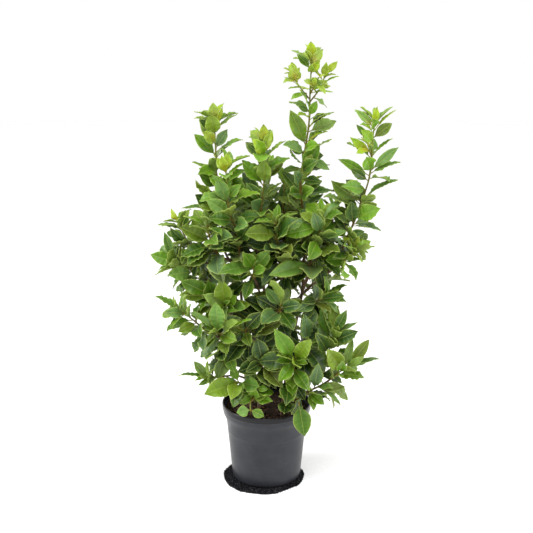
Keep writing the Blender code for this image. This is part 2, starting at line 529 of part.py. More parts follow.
         0.42, leaves=6, length=0.074, age=0.25),
]


class Axis:
    """A stem of the plan with its full route, its woody share and its thickness."""

    def __init__(self, plan, parent):
        self.name = plan["name"]
        self.parent = parent
        self.plan = plan
        self.straight = 0.0
        if parent is None:
            self.foot_radius = STEM_RADIUS
            self.wood = self.name
            self.straight = STEM_DEPTH + STRAIGHT_ABOVE
            start = Vector((*plan["foot"], SOIL_TOP + STRAIGHT_ABOVE))
        else:
            self.foot_radius = BRANCH_RADIUS
            self.wood = parent.wood
            start = parent.at_height(plan["leaves_at"])
        points = [start] + plan["through"]
        self.route = smooth_route(points, ROUTE_SAMPLES * len(points))
        if parent is None:
            self.route.insert(0, start - Vector((0, 0, self.straight)))
        self.lengths = route_lengths(self.route)
        self.total = self.lengths[-1]
        self.woody = plan["woody"] * self.total
        self.twig = plan["woody"] == 0
        self.host = parent.host if self.twig else self
        self.leaves = []
        self.roots = []

    def at_height(self, height):
        return min(self.route, key=lambda p: abs(p.z - height))

    def radius(self, distance):
        thin = TWIG_TIP_RADIUS if self.twig else TIP_RADIUS
        start = TWIG_RADIUS if self.twig else self.foot_radius
        return start + (thin - start) * distance / self.total

    def tube(self, start, end, sides):
        bend = max(start, self.straight)
        rings = max(math.ceil((end - bend) / RING_SPACING), 2)
        places = [bend + (end - bend) * i / rings for i in range(rings + 1)]
        if start < bend:
            places.insert(0, start)
        centres, headings = zip(*[at_length(self.route, self.lengths, s) for s in places])
        return tube(centres, headings, [self.radius(s) for s in places], sides)

    def wood_tube(self):
        return self.tube(0.0, self.woody, WOOD_SIDES if self.parent is None else BRANCH_SIDES)

    def free_place(self, wanted):
        """The place nearest to the wanted one that is clear of the leaves already on this stem."""
        low = self.leafy_start() + FIRST_LEAF
        high = self.total - LAST_LEAF
        wanted = min(max(wanted, low), high)
        for step in range(PLACE_STEPS):
            for place in (wanted - step * PLACE_STEP, wanted + step * PLACE_STEP):
                if low <= place <= high and all(abs(place - r) >= ROOT_SPACING for r in self.roots):
                    return place
        return wanted

    def leafy_start(self):
        return 0.0 if self.twig else self.woody + GAP

    def leafy_tube(self):
        return self.tube(self.leafy_start(), self.total, SHOOT_SIDES)


class Space:
    """What has been placed so far, for finding out what a new leaf would cross."""

    def __init__(self):
        self.pieces = []

    def add(self, owner, verts, faces):
        centre = sum(verts, Vector()) / len(verts)
        reach = max((v - centre).length for v in verts)
        self.pieces.append((owner, BVHTree.FromPolygons(verts, faces), centre, reach))

    def crosses(self, verts, faces, skip=None, only=None):
        tree = None
        centre = sum(verts, Vector()) / len(verts)
        reach = max((v - centre).length for v in verts)
        for owner, other, middle, far in self.pieces:
            if owner == skip or (only is not None and owner != only):
                continue
            if (middle - centre).length > reach + far:
                continue
            if tree is None:
                tree = BVHTree.FromPolygons(verts, faces)
            if tree.overlap(other):
                return True
        return False


SWINGS = [0, 14, -14, 28, -28, 44, -44, 62, -62, 84, -84, 110, -110]
TILTS = [0, 14, -14, 28, -24]
SCALES = [1.0, 0.86, 0.72]


def place_leaf(space, axis, heading, leaf):
    """Swings, tilts and shortens a leaf until it is clear of everything, or gives it up."""
    owner = axis.host.name
    for scale in SCALES:
        for swing in SWINGS:
            for tilt in TILTS:
                trial = leaf.turned(heading, math.radians(swing), math.radians(tilt), scale)
                if trial.point(1.0, 0.0).z < LOWEST_TIP:
                    continue
                whole = blade(trial, CLEARANCE)
                if space.crosses(*whole, skip=owner):
                    continue
                outer = blade(trial, CLEARANCE, ROOT_SHARE)
                if space.crosses(*outer, only=owner + "_outer"):
                    continue
                space.add(owner, *blade(trial))
                space.add(owner + "_outer", *blade(trial, 0.0, ROOT_SHARE))
                return trial
    return None


def root_place(axis, tip, length):
    """Where on the leafy stem a leaf of this length springs from to reach its tip, rather not backwards."""
    best = None
    low = axis.leafy_start() + FIRST_LEAF
    high = axis.total - LAST_LEAF
    for i in range(AIM_STEPS + 1):
        place = low + (high - low) * i / AIM_STEPS
        point, heading = at_length(axis.route, axis.lengths, place)
        miss = abs((tip - point).length - length)
        if (tip - point).normalized().dot(heading) < BACKWARD:
            miss += BACKWARD_COST
        if best is None or miss < best[0]:
            best = (miss, place)
    return best[1]


def aimed_leaves(space, axis):
    """Leaves with a set tip: each springs from where its stem is a leaf's length from that tip."""
    rng = random.Random(axis.name + " aimed")
    for tip, length, width, face, age in axis.plan.get("aimed", []):
        tip = Vector(tip)
        place = axis.free_place(root_place(axis, tip, length))
        root, heading = at_length(axis.route, axis.lengths, place)
        droop = rng.uniform(*AIMED_DROOP)
        chord = tip - root
        along = chord.normalized()
        facing = (face - along * face.dot(along)).normalized()
        start = Matrix.Rotation(-droop / 2, 3, facing.cross(along)) @ along
        facing = Matrix.Rotation(-droop / 2, 3, facing.cross(along)) @ facing
        reach = chord.length * (droop / 2) / math.sin(droop / 2)
        leaf = Leaf(root, start, facing, reach, width, droop, math.radians(rng.uniform(*FOLD)),
                    rng.uniform(*WAVE), rng.uniform(0, 2 * math.pi), rng.uniform(-0.2, 0.2), age)
        placed = place_leaf(space, axis, heading, leaf)
        if placed:
            axis.leaves.append(placed)
            axis.roots.append(place)


def grown_leaves(space, axis):
    """Leaves in a spiral along the shoot, larger and flatter low down, small and upright at the tip."""
    rng = random.Random(axis.name + " grown")
    count = axis.plan["leaves"]
    age = axis.plan["age"]
    turn = rng.uniform(0, 2 * math.pi)
    for i in range(count):
        share = (i + 0.5) / count
        start = axis.leafy_start() + FIRST_LEAF
        place = axis.free_place(start + (axis.total - LAST_LEAF - start) * share ** 0.9)
        root, heading = at_length(axis.route, axis.lengths, place)
        turn += LEAF_TURN + rng.uniform(-0.25, 0.25)
        guide = Vector((0.0, -1.0, 0.2))
        across = (guide - heading * guide.dot(heading)).normalized()
        out = Matrix.Rotation(turn, 3, heading) @ across
        rise = math.radians(10 + 48 * share + rng.uniform(-12, 12) - 18 * (1 - age))
        along = out * math.cos(rise) + heading * math.sin(rise)
        face = heading * math.cos(rise) - out * math.sin(rise)
        light = Vector((root.x * 1.4, root.y - 0.05, 0.0)).normalized() + Vector((0, 0, 0.9))
        face = face + light * rng.uniform(0.5, 1.3)
        size = axis.plan["length"] * rng.uniform(0.9, 1.2) * (1.0 - 0.4 * max(share - 0.6, 0) / 0.4)
        leaf = Leaf(root, along, face, size, size * rng.uniform(*SLENDER), rng.uniform(*GROWN_DROOP),
                    math.radians(rng.uniform(*FOLD)), rng.uniform(*WAVE), rng.uniform(0, 2 * math.pi),
                    rng.uniform(-0.35, 0.35), min(max(age + 0.7 * (share - 0.55), 0.0), 1.0))
        placed = place_leaf(space, axis, heading, leaf)
        if placed:
            axis.leaves.append(placed)
            axis.roots.append(place)


def grow_plant(obstacles):
    """All axes with their leaves, each leaf clear of the others and of the pot and compost."""
    axes = {}
    for plan in PLAN:
        axes[plan["name"]] = Axis(plan, axes.get(plan["parent"]))
    space = Space()
    for name, verts, faces in obstacles:
        space.add(name, verts, faces)
    for axis in axes.values():
        if not axis.twig:
            space.add(axis.wood + " wood", *axis.wood_tube())
        space.add(axis.host.name, *axis.leafy_tube())
    for axis in axes.values():
        aimed_leaves(space, axis)
    for axis in axes.values():
        grown_leaves(space, axis)
    return axes


# Pot, compost and mat

def turned(profile, segments):
    """A closed solid of revolution; the profile runs from the axis round to the axis again."""
    verts = []
    rings = []
    for radius, height in profile:
        if radius == 0:
            rings.append([len(verts)])
            verts.append(Vector((0, 0, height)))
            continue
        rings.append(list(range(len(verts), len(verts) + segments)))
        for k in range(segments):
            angle = 2 * math.pi * k / segments
            verts.append(Vector((radius * math.cos(angle), radius * math.sin(angle), height)))
    faces = []
    for low, high in zip(rings, rings[1:]):
        for k in range(segments):
            m = (k + 1) % segments
            if len(low) == 1:
                faces.append((low[0], high[m], high[k]))
            elif len(high) == 1:
                faces.append((low[k], low[m], high[0]))
            else:
                faces.append((low[k], low[m], high[m], high[k]))
    return verts, faces


def pot_outside():
    """The outer profile of the pot, from its foot up to the rim."""
    foot = MAT_THICKNESS + GAP
    shoulder = POT_TOP - POT_BAND_HEIGHT - POT_SHOULDER_HEIGHT
    band = POT_TOP - POT_BAND_HEIGHT
    return [(0.0, foot), (POT_FOOT_RADIUS - 0.006, foot), (POT_FOOT_RADIUS - 0.0017, foot + 0.0020),
            (POT_FOOT_RADIUS, foot + 0.008), (POT_BODY_TOP_RADIUS, shoulder),
            (0.0870, shoulder + 0.019), (0.0920, shoulder + 0.031), (0.0947, band),
            (POT_RIM_RADIUS, POT_TOP - 0.0015), (POT_RIM_RADIUS - 0.0009, POT_TOP)]


def pot_inside():
    """The inner profile of the pot, from the rim down to the floor."""
    outside = pot_outside()
    inner = [(POT_RIM_RADIUS - 0.0030, POT_TOP), (POT_RIM_RADIUS - 0.0038, POT_TOP - 0.0015)]
    for radius, height in (outside[7], outside[5], outside[4], outside[3]):
        inner.append((radius - POT_WALL, height + 0.0005))
    inner.append((POT_FOOT_RADIUS - 0.009, outside[0][1] + POT_WALL))
    inner.append((0.0, outside[0][1] + POT_WALL))
    return inner


def cut(piece, cutters):
    """Takes the cutters out of a piece and removes them."""
    for cutter in cutters:
        cutter.hide_render = True
        cutter.display_type = "WIRE"
        modifier = piece.modifiers.new("cut", "BOOLEAN")
        modifier.operation = "DIFFERENCE"
        modifier.solver = "EXACT"
        modifier.object = cutter
    bake(piece)
    for cutter in cutters:
        bpy.data.objects.remove(cutter, do_unlink=True)


def bake(piece):
    """Applies a piece's modifiers."""
    bpy.context.view_layer.update()
    graph = bpy.context.evaluated_depsgraph_get()
    mesh = bpy.data.meshes.new_from_object(piece.evaluated_get(graph))
    piece.modifiers.clear()
    piece.data = mesh


def post(x, y, low, high, radius, sides, name, material):
    centres = [Vector((x, y, low)), Vector((x, y, high))]
    verts, faces = tube(centres, [Vector((0, 0, 1))] * 2, [radius, radius], sides)
    return add_object(name, verts, faces, material)


def make_pot(material):
    verts, faces = turned(pot_outside() + pot_inside(), POT_SEGMENTS)
    pot = add_object("pot", verts, faces, material)
    holes = []
    for k in range(DRAIN_HOLES):
        angle = 2 * math.pi * (k + 0.5) / DRAIN_HOLES
        ring = POT_FOOT_RADIUS - 0.022
        holes.append(post(ring * math.cos(angle), ring * math.sin(angle), 0.0, 0.01, DRAIN_RADIUS, 6,
                          "drain", material))
    cut(pot, holes)
    return pot


def soil_height(x, y):
    """The compost's uneven top, a little higher round the stems."""
    lumps = 0.0016 * math.sin(95 * x + 1.0) * math.cos(80 * y) + 0.0010 * math.sin(190 * y + 140 * x)
    return SOIL_TOP + lumps + 0.0025 * math.exp(-(x * x + y * y) / 0.0018)


def wall_radius(height):
    """The inner radius of the pot at a height."""
    inside = sorted((z, r) for r, z in pot_inside() if r > 0)
    for (low, narrow), (high, wide) in zip(inside, inside[1:]):
        if low <= height <= high:
            return narrow + (wide - narrow) * (height - low) / (high - low)
    return inside[-1][1]


def soil_shape():
    floor = pot_inside()[-1][1] + GAP
    edge = SOIL_TOP - 0.001
    levels = sorted(z for r, z in pot_inside() if floor + GAP < z < edge) + [edge]
    profile = [(0.0, floor), (POT_FOOT_RADIUS - 0.0095, floor)]
    profile += [(wall_radius(z) - SOIL_GAP, z) for z in levels]
    rim = profile[-1][0]
    profile += [(rim * 0.62, SOIL_TOP), (0.0, SOIL_TOP)]
    verts, faces = turned(profile, SOIL_SEGMENTS)
    for v in verts:
        if v.z >= SOIL_TOP - 0.0002:
            v.z = soil_height(v.x, v.y)
    return verts, faces


def make_soil(axes, material):
    verts, faces = soil_shape()
    soil = add_object("soil", verts, faces, material)
    holes = []
    for axis in axes.values():
        if axis.parent is None:
            x, y = axis.plan["foot"]
            holes.append(post(x, y, SOIL_TOP - STEM_DEPTH - GAP, SOIL_TOP + 0.02,
                 axis.foot_radius + GAP,
                              WOOD_SIDES, "hole", material))
    cut(soil, holes)
    return soil


def make_mat(material):
    """A thin disc cut by hand: nearly round, with one straight snip at the front right."""
    steps = 40
    ring = []
    for k in range(steps):
        angle = 2 * math.pi * k / steps
        reach = MAT_RADIUS * (1 + 0.010 * math.sin(5 * angle + 0.6) + 0.006 * math.sin(11 * angle))
        snip = math.cos(angle + math.radians(52))
        if snip > 0.5:
            reach = min(reach, MAT_RADIUS * 0.945 / snip)
        ring.append((MAT_CENTRE[0] + reach * math.cos(angle), MAT_CENTRE[1] + reach * math.sin(angle)))
    verts = [Vector((x, y, z)) for z in (0.0, MAT_THICKNESS) for x, y in ring]
    faces = [tuple(reversed(range(steps))), tuple(range(steps, 2 * steps))]
    for k in range(steps):
        m = (k + 1) % steps
        faces.append((k, m, m + steps, k + steps))
    return add_object("mat", verts, faces, material)


# Solids of the plant

def fuse(name, shapes, material):
    """One closed solid from overlapping shapes, by a union on a collection.

    The seams are thinned where the solid stays closed with that, and another solver is the last try.
    """
    for solver, thinned in (("EXACT", True), ("EXACT", False), ("MANIFOLD", False)):
        piece = add_object(name, *shapes[0], material)
        group = bpy.data.collections.new(name + "_parts")
        bpy.context.scene.collection.children.link(group)
        for verts, faces in shapes[1:]:
            add_object(name + "_part", verts, faces, material, group)
        modifier = piece.modifiers.new("fuse", "BOOLEAN")
        modifier.operation = "UNION"
        modifier.operand_type = "COLLECTION"
        modifier.collection = group
        modifier.solver = solver
        bake(piece)
        for part in list(group.objects):
            bpy.data.objects.remove(part, do_unlink=True)
        bpy.data.collections.remove(group)
        if clean(piece, shapes if thinned else None) or solver == "MANIFOLD":
            return piece
        bpy.data.objects.remove(piece, do_unlink=True)


def thin_seams(shape, shapes):
    """Takes out seam points of a union that lie on nearly flat faces; corners of the shapes stay."""
    corners = [v for verts, faces in shapes for v in verts]
    tree = kdtree.KDTree(len(corners))
    for i, corner in enumerate(corners):
        tree.insert(corner, i)
    tree.balance()
    seam = {v for v in shape.verts if tree.find(v.co)[2] > MERGE_DISTANCE * 2}
    edges = [e for e in shape.edges if e.verts[0] in seam or e.verts[1] in seam]
    bmesh.ops.dissolve_limit(shape, angle_limit=SEAM_ANGLE, verts=list(seam), edges=edges)
    bmesh.ops.triangulate(shape, faces=shape.faces)


def clean(piece, shapes):
    """Drops scraps and inner shells that a union can leave, and says whether the rest is closed."""
    shape = bmesh.new()
    shape.from_mesh(piece.data)
    bmesh.ops.triangulate(shape, faces=shape.faces)
    bmesh.ops.remove_doubles(shape, verts=shape.verts, dist=MERGE_DISTANCE)
    bmesh.ops.dissolve_degenerate(shape, edges=shape.edges, dist=MERGE_DISTANCE)
    bmesh.ops.triangulate(shape, faces=shape.faces)
    if shapes:
        thin_seams(shape, shapes)
    left = set(shape.faces)
    shells = []
    while left:
        shell = {left.pop()}
        front = list(shell)
        while front:
            face = front.pop()
            for edge in face.edges:
                for other in edge.link_faces:
                    if other in left:
                        left.remove(other)
                        shell.add(other)
                        front.append(other)
        shells.append(shell)
    shells.sort(key=len)
    for shell in shells[:-1]:
        bmesh.ops.delete(shape, geom=list(shell), context="FACES")
    closed = all(len(edge.link_faces) == 2 for edge in shape.edges)
    shape.to_mesh(piece.data)
    shape.free()
    return closed


def make_wood(axes, material):
    for axis in axes.values():
        if axis.parent is None:
            shapes = [a.wood_tube() for a in axes.values() if a.wood == axis.name and not a.twig]
            fuse("wood_" + axis.name, shapes, material)


def make_shoots(axes, materials):
    for axis in axes.values():
        if axis.twig:
            continue
        family = [a for a in axes.values() if a.host is axis]
        shapes = [a.leafy_tube() for a in family]
        for member in family:
            shapes.extend(blade(leaf) for leaf in member.leaves)
        young = sum(leaf.age for leaf in axis.leaves) / max(len(axis.leaves), 1)
        material = materials[min(int(young * len(materials)), len(materials) - 1)]
        fuse("shoot_" + axis.name, shapes, material)


def build():
    clear_scene()
    pot_plastic = make_material("pot_plastic", 0.055, 0.058, 0.064, 0.42)
    compost = make_material("compost", 0.030, 0.018, 0.012, 0.95)
    mat_fibre = make_material("mat_fibre", 0.012, 0.012, 0.013, 0.9)
    bark = make_material("bark", 0.105, 0.060, 0.030, 0.8)
    greens = [make_material("leaf_old", 0.030, 0.075, 0.018, 0.4),
              make_material("leaf_grown", 0.075, 0.160, 0.030, 0.4),
              make_material("leaf_young", 0.200, 0.310, 0.040, 0.45)]
    pot_shell = turned(pot_outside() + pot_inside(), POT_SEGMENTS)
    axes = grow_plant([("pot", *pot_shell), ("soil", *soil_shape())])
    make_mat(mat_fibre)
    make_pot(pot_plastic)
    make_soil(axes, compost)
    make_wood(axes, bark)
    make_shoots(axes, greens)


build()
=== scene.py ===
"""Bay laurel in a plastic nursery pot on a round mat: the looks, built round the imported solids.

Metres, +Z up, the front of the plant faces -Y. The stems and leaves are laid out by the same plan
and the same seeded draws as the solids, so each fine leaf takes the place of its plain one. More
leaves, buds and young tips are then grown on the same stems.
"""
import itertools
import json
import math
import random
from dataclasses import dataclass, replace

import bmesh
import bpy
import numpy as np
from mathutils import Matrix, Vector, noise
from mathutils.bvhtree import BVHTree

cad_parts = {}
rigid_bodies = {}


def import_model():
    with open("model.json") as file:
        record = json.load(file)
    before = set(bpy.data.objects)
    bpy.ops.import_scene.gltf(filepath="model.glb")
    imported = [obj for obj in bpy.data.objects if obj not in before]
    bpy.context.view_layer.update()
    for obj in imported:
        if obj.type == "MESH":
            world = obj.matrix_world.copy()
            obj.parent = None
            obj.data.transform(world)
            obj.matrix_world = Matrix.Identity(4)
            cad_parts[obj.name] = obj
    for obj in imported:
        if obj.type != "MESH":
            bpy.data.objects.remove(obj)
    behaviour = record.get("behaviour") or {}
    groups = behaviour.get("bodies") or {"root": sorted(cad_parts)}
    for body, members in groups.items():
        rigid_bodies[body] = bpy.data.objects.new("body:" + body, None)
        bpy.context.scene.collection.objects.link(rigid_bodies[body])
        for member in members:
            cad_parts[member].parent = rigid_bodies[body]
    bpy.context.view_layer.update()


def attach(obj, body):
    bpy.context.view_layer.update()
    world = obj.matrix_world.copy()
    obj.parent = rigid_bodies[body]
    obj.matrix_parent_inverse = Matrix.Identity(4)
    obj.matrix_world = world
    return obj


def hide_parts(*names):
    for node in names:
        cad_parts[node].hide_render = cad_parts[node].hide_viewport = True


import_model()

CIRCLE = 2 * math.pi

# Pot, mat and compost
MAT_RADIUS = 0.0875
MAT_THICKNESS = 0.003
MAT_CENTRE = (-0.006, -0.010)
POT_TOP = 0.171
POT_RIM_RADIUS = 0.0949
POT_BODY_TOP_RADIUS = 0.0842
POT_FOOT_RADIUS = 0.0743
FOOT_HEIGHT = 0.008
POT_BAND_HEIGHT = 0.012
POT_SHOULDER_HEIGHT = 0.042
POT_WALL = 0.0016
POT_SEGMENTS = 26
DRAIN_HOLES = 5
DRAIN_RADIUS = 0.005
DRAIN_SIDES = 20
DRAIN_INSET = 0.022
DRILL_LENGTH = 0.012
SOIL_TOP = 0.152
SOIL_EDGE = 0.001
SOIL_MIDDLE = 0.62
SOIL_SEGMENTS = 26
GAP = 0.0003
SOIL_GAP = 0.0005

# Leaves and stems, as in the solids
BLADE_THICKNESS = 0.0008
BLADE_STATIONS = (0.34, 0.70)
CLEARANCE = 0.0012
SMALL_LEAF = 0.080
POLYGON_WIDTH = 1.10
WIDEST = 0.93
BLUNTNESS = 0.85
ROOT_SHARE = 0.2
ROOT_SPACING = 0.0046
PLACE_STEP = 0.0008
PLACE_STEPS = 40
FIRST_LEAF = 0.006
LAST_LEAF = 0.0015
LOWEST_TIP = 0.023
AIM_STEPS = 60
BACKWARD = -0.25
BACKWARD_COST = 0.02
AIMED_DROOP = (0.25, 0.55)
GROWN_DROOP = (0.25, 0.75)
FOLD = (9, 23)
WAVE = (0.03, 0.08)
WAVES = 1.7
OTHER_SIDE = 1.3
SLENDER = (0.38, 0.50)
AIMED_TWIST = (-0.2, 0.2)
GROWN_TWIST = (-0.35, 0.35)
SPIRAL_SIZE = (0.9, 1.2)
SPIRAL_LIGHT = (0.5, 1.3)
SPIRAL_FACING = (-0.05, 0.9)
SPIRAL_RISE = 10
SPIRAL_RISE_MORE = 48
SPIRAL_STRAY = (-12, 12)
OLD_LEAF_SINKS = 18
SPIRAL_SMALLER = 0.4
SMALLER_FROM = 0.6
SMALLER_OVER = 0.4
SPIRAL_YOUNGER = 0.7
SPIRAL_MIDDLE = 0.55
SPIRAL_CROWDS = 0.9
SPIRAL_DRIFT = (-0.25, 0.25)
LEAN_OUT = 1.4
WOOD_SIDES = 6
BRANCH_SIDES = 5
SHOOT_SIDES = 4
RING_SPACING = 0.060
ROUTE_SAMPLES = 12
LEAF_TURN = math.radians(137.5)
STEM_DEPTH = 0.045
STRAIGHT_ABOVE = 0.003
STEM_RADIUS = 0.0042
BRANCH_RADIUS = 0.0024
TIP_RADIUS = 0.0013
TWIG_RADIUS = 0.0015
TWIG_TIP_RADIUS = 0.0011
SWINGS = (0, 14, -14, 28, -28, 44, -44, 62, -62, 84, -84, 110, -110)
TILTS = (0, 14, -14, 28, -24)
SCALES = (1.0, 0.86, 0.72)

# The fine leaves and their stalks
STALK_SHARE = 0.10
STALK_HALF = 0.0009
BLADE_BEGINS = 0.12
TIP_HALF = 0.00015
FINE_FROM = 0.040
LARGE_ROWS = 26
SMALL_ROWS = 16
LARGE_ACROSS = (-1, -0.76, -0.12, 0, 0.12, 0.76, 1)
SMALL_ACROSS = (-1, -0.55, 0, 0.55, 1)
VEIN_SLANT = 0.07
VEIN_ROWS = 3
CRISP = (0.03, 0.075)
CRISP_PITCH = (0.0080, 0.0115)
CRISP_FROM = (0.02, 0.06)
ROUNDNESS = (0.72, 0.98)
QUILT = 0.0007
QUILT_LENGTH = 0.06
FULLNESS = 1.12
SWELL = (0.03, 0.08)
SWELLS = 2.6
GROOVE = 0.00035
GROOVE_WIDTH_MM = 0.55
RIB_DEPTH = 1.6
LEAF_THICKNESS = 0.0005
STALK_THICKNESS = 0.0013

# The further leaves: how many, how large, how old and which way they stand
EXTRA_SPACING = 0.0085
EXTRA_SIZE = (0.85, 1.20)
EXTRA_LIGHT = (0.5, 1.5)
EXTRA_FACING = (-0.15, 0.6)
EXTRA_ENDS = 0.004
PLAIN_TONES = (0.22, 0.66)
BACK_FROM = 0.03
BACK_SPACING = 0.0065
THINNED = 0.72
THIN_HEIGHTS = (0.50, 0.66)
SLIMMER = 0.20
UPPER_RISE = 14
# TENDER_* show leaves younger high up; SHADED_* and INNER_* show leaves inside the bush and young leaves low
# down older, a deeper green, as painted shade
TENDER_HEIGHTS = (0.60, 0.88)
TENDER_TOP = 0.20
SHADED_HEIGHTS = (0.36, 0.52)
SHADED_AGE = 0.20
SHADED_KINDS = (0.60, 0.95)
DEPTH_SHIFTS = (0.0, -0.010, 0.010, -0.020, 0.020, -0.030)
INNER_REACH = 0.10
INNER_TOP = (0.48, 0.62)
INNER_PAINTED_SHADE = 0.35
BROAD = (0.42, 0.54)
EXTRA_CLEARANCE = 0.0003
ROLLS = (1.1, 0.7, 0.35)
ROLL_OUT = 1.2
ROLL_FORWARD = 0.12
ROLL_UP = 0.5
EXTRA_RISE = 24
EXTRA_RISE_MORE = 32
EXTRA_STRAY = (-14, 14)
EXTRA_SMALLER = 0.3
EXTRA_YOUNGER = 0.6
EXTRA_MIDDLE = 0.5
EXTRA_JITTER = (0.2, 0.8)
TURN_DRIFT = (-0.3, 0.3)

# The tufts at the tips, and the buds
TIP_LEAVES = 5
TWIG_TIP_LEAVES = 3
TIP_SPACING = 0.0022
TUFT_FROM_AGE = 0.3
TUFT_LENGTH = 0.058
TWIG_TUFT_LENGTH = 0.044
TUFT_WIDTH = (0.28, 0.37)
TUFT_SIZE = (0.85, 1.15)
TUFT_RISE = (60, 80)
TUFT_DROOP = (0.2, 0.5)
TUFT_FOLD = (16, 38)
TUFT_WAVE = 0.04
TUFT_TWIST = (-0.3, 0.3)
TUFT_BELOW = 0.001
TUFT_OPENS = 6
TUFT_INMOST = 0.46
TUFT_GROWS = 0.09
TUFT_AGE = 0.62
TUFT_AGE_MORE = 0.5
TUFT_OLDER = 0.05
TUFTLESS = ("low_front", "rim_front", "low_left_rim", "low_front_up", "low_front_drop", "rim_front_drop")
BUD_SHARE = 0.6
BUD_SIZE = (0.002, 0.0038)
TIP_BUD = 0.005
BUD_SIDES = 5
BUD_SECTIONS = ((0.0, 0.5), (0.4, 1.0), (0.75, 0.6))
BUD_SLENDER = 0.24
BUD_ALONG = 0.8
BUD_OUT = 0.6
BUD_ABOVE = 0.0012
BUD_BESIDE = 0.001
BUD_SUNK = 0.001

# Fine stems and bark
STEM_STEP = 0.006
STEM_SIDES = 8
BARK_STEP = 0.006
BARK_SIDES = 14
BRANCH_BARK_SIDES = 10
JOINT_COVER = 0.002
KNOT = 0.22
KNOT_LENGTH = 0.0016
RIPE_TIP = 0.55
RIPE_TIP_MORE = 0.5
RIPE_FOOT = 0.28
TAPER_TIP = 0.55
TAPER_REST = 0.45
TAPER_LENGTH = 0.02
COLLAR = 0.5
COLLAR_LENGTH = 0.006
BARK_BULGE = 0.10

# Fine pot, compost and mat. The pot's curves list radii with heights over its foot, its shoulder or the
# lower edge of its band, steps out with steps up for its ring, and insets with drops for its rim
POT_SIDES = 112
BODY_STATIONS = (0.08, 0.16, 0.3, 0.45, 0.6, 0.75, 0.86, 0.94)
RING_STATION = 0.94
RING_CURVE = ((0.00022, 0.0005), (0.00026, 0.0010), (0.00020, 0.0016))
FOOT_CURVE = ((0.0, 0.0012), (0.040, 0.0012), (0.062, 0.0010), (0.0665, 0.0), (0.0708, 0.0),
              (0.0722, 0.0005), (0.0731, 0.0014), (0.0736, 0.0026), (0.0739, 0.0042), (0.0743, 0.0080))
COLLAR_CURVE = ((POT_BODY_TOP_RADIUS + 0.0001, 0.0005), (0.0846, 0.0040), (0.0851, 0.0090), (0.0859, 0.0145),
                (0.0871, 0.0195), (0.0888, 0.0245), (0.0907, 0.0285), (0.0922, 0.0318), (0.0932, 0.0360),
                (0.0938, 0.0400))
BAND_CURVE = ((0.0941, -0.0006), (0.0947, 0.0), (POT_RIM_RADIUS, 0.0006))
RIM_CURVE = ((0.0, 0.0022), (0.0002, 0.0011), (0.0007, 0.0003), (0.0014, 0.0), (0.0022, 0.0003),
             (0.0030, 0.0012), (0.0034, 0.006))
BAND_INSET = 0.0036
BELOW_BAND = 0.001
FLOOR_CURVE = ((POT_FOOT_RADIUS - 0.0045, 0.0040), (POT_FOOT_RADIUS - 0.009, 0.0028), (0.0, 0.0028))
COMPOST_RINGS = 46
COMPOST_SIDES = 150
COMPOST_LEVELS = (0.140, 0.120, 0.080, 0.040)
EDGE_RISE = 0.0016
EDGE_FROM = 0.93
EDGE_OVER = 0.07
CHIPS = 260
CHIP_LENGTH = (0.003, 0.011)
CHIP_SECTIONS = ((-0.5, 0.45), (-0.2, 1.0), (0.25, 0.85), (0.5, 0.35))
CHIP_WIDE = (0.25, 0.6)
CHIP_THICK = (0.10, 0.3)
CHIP_UNEVEN = (0.85, 1.1)
CHIP_CROOKED = (0.7, 1.2)
CHIP_LIFT = 0.25
CHIP_MARGIN = 0.006
MAT_RINGS = 64
MAT_SIDES = 320
MAT_LOOP = 0.0050
MAT_FRAY = 0.0028
MAT_BULGE = 0.0005
MAT_DROP = 0.0008
MAT_BITE = 0.0010
MAT_WOBBLE = 0.0008
MAT_HOLLOW = 0.0008
MAT_RELIEF = 0.0006
MAT_FUZZ = 0.0002
SNIP_TURN = math.radians(52)
SNIP_REACH = 0.945

# Sizes of the patterns in the materials, in metres
LEAF_PATCH = 0.026
LEAF_MOTTLE = 0.0055
LEAF_GRAIN = 0.0012
STEM_PATCH = 0.005
BARK_CRACK = 0.004
BARK_PATCH = 0.014
BARK_PORE = 0.0022
POT_HAZE = 0.03
POT_RUB = 0.006
POT_GRAIN = 0.0009
COMPOST_CRUMB = 0.003
COMPOST_FIBRE = 0.0012
CHIP_GRAIN = 0.0015
MAT_KNOB = 0.0046
MAT_STRAND = 0.0008
PAPER_FIBRE = 0.008

# Half the width of the drawn midrib, in millimetres, from its pale middle to where it ends
MIDRIB_MM = (0.3, 0.85)

# Colour ramps as (place, colour); the first two are the ends
# The dark end of the leaf greens also gives the painted shade of leaves inside and low in the bush
LEAF_GREENS = [(0.0, "#1c3410"), (1.0, "#93ad1d"), (0.25, "#345610"), (0.5, "#4c730f"), (0.75, "#5f8b12"),
               (0.9, "#769f17")]
RIB_COLOURS = [(0.05, "#8d5a2a"), (0.6, "#93a048"), (0.25, "#a38f45")]
STALK_COLOURS = [(0.0, "#7d8433"), (1.0, "#744022"), (0.5, "#8c5a29")]
STEM_SKINS = [(0.0, "#4a3b18"), (1.0, "#84982d"), (0.35, "#5e4a19"), (0.62, "#6c661f"), (0.85, "#6a7d26")]
BARK_BROWNS = [(0.25, "#3a2a1c"), (0.95, "#9b8566"), (0.5, "#634a33"), (0.7, "#7d6348")]
POT_GREYS = [(0.3, "#232428"), (0.7, "#2b2c31")]
COMPOST_BROWNS = [(0.3, "#120c08"), (0.85, "#5a3d26"), (0.5, "#25180f"), (0.68, "#3f2a1a")]
CHIP_BROWNS = [(0.0, "#22140c"), (1.0, "#8a6a44"), (0.45, "#4a2b19"), (0.8, "#6e4327")]
# The mat's ramp: black fibre, lighter at the knob tops as painted highlight and dark in the hollows as
# painted shade
MAT_BLACK_AND_PAINTED_LIGHT = [(0.05, "#58585e"), (0.6, "#050506"), (0.3, "#1a1a1d")]
PAPER_WHITES = [(0.3, "#fafafa"), (0.7, "#ffffff")]

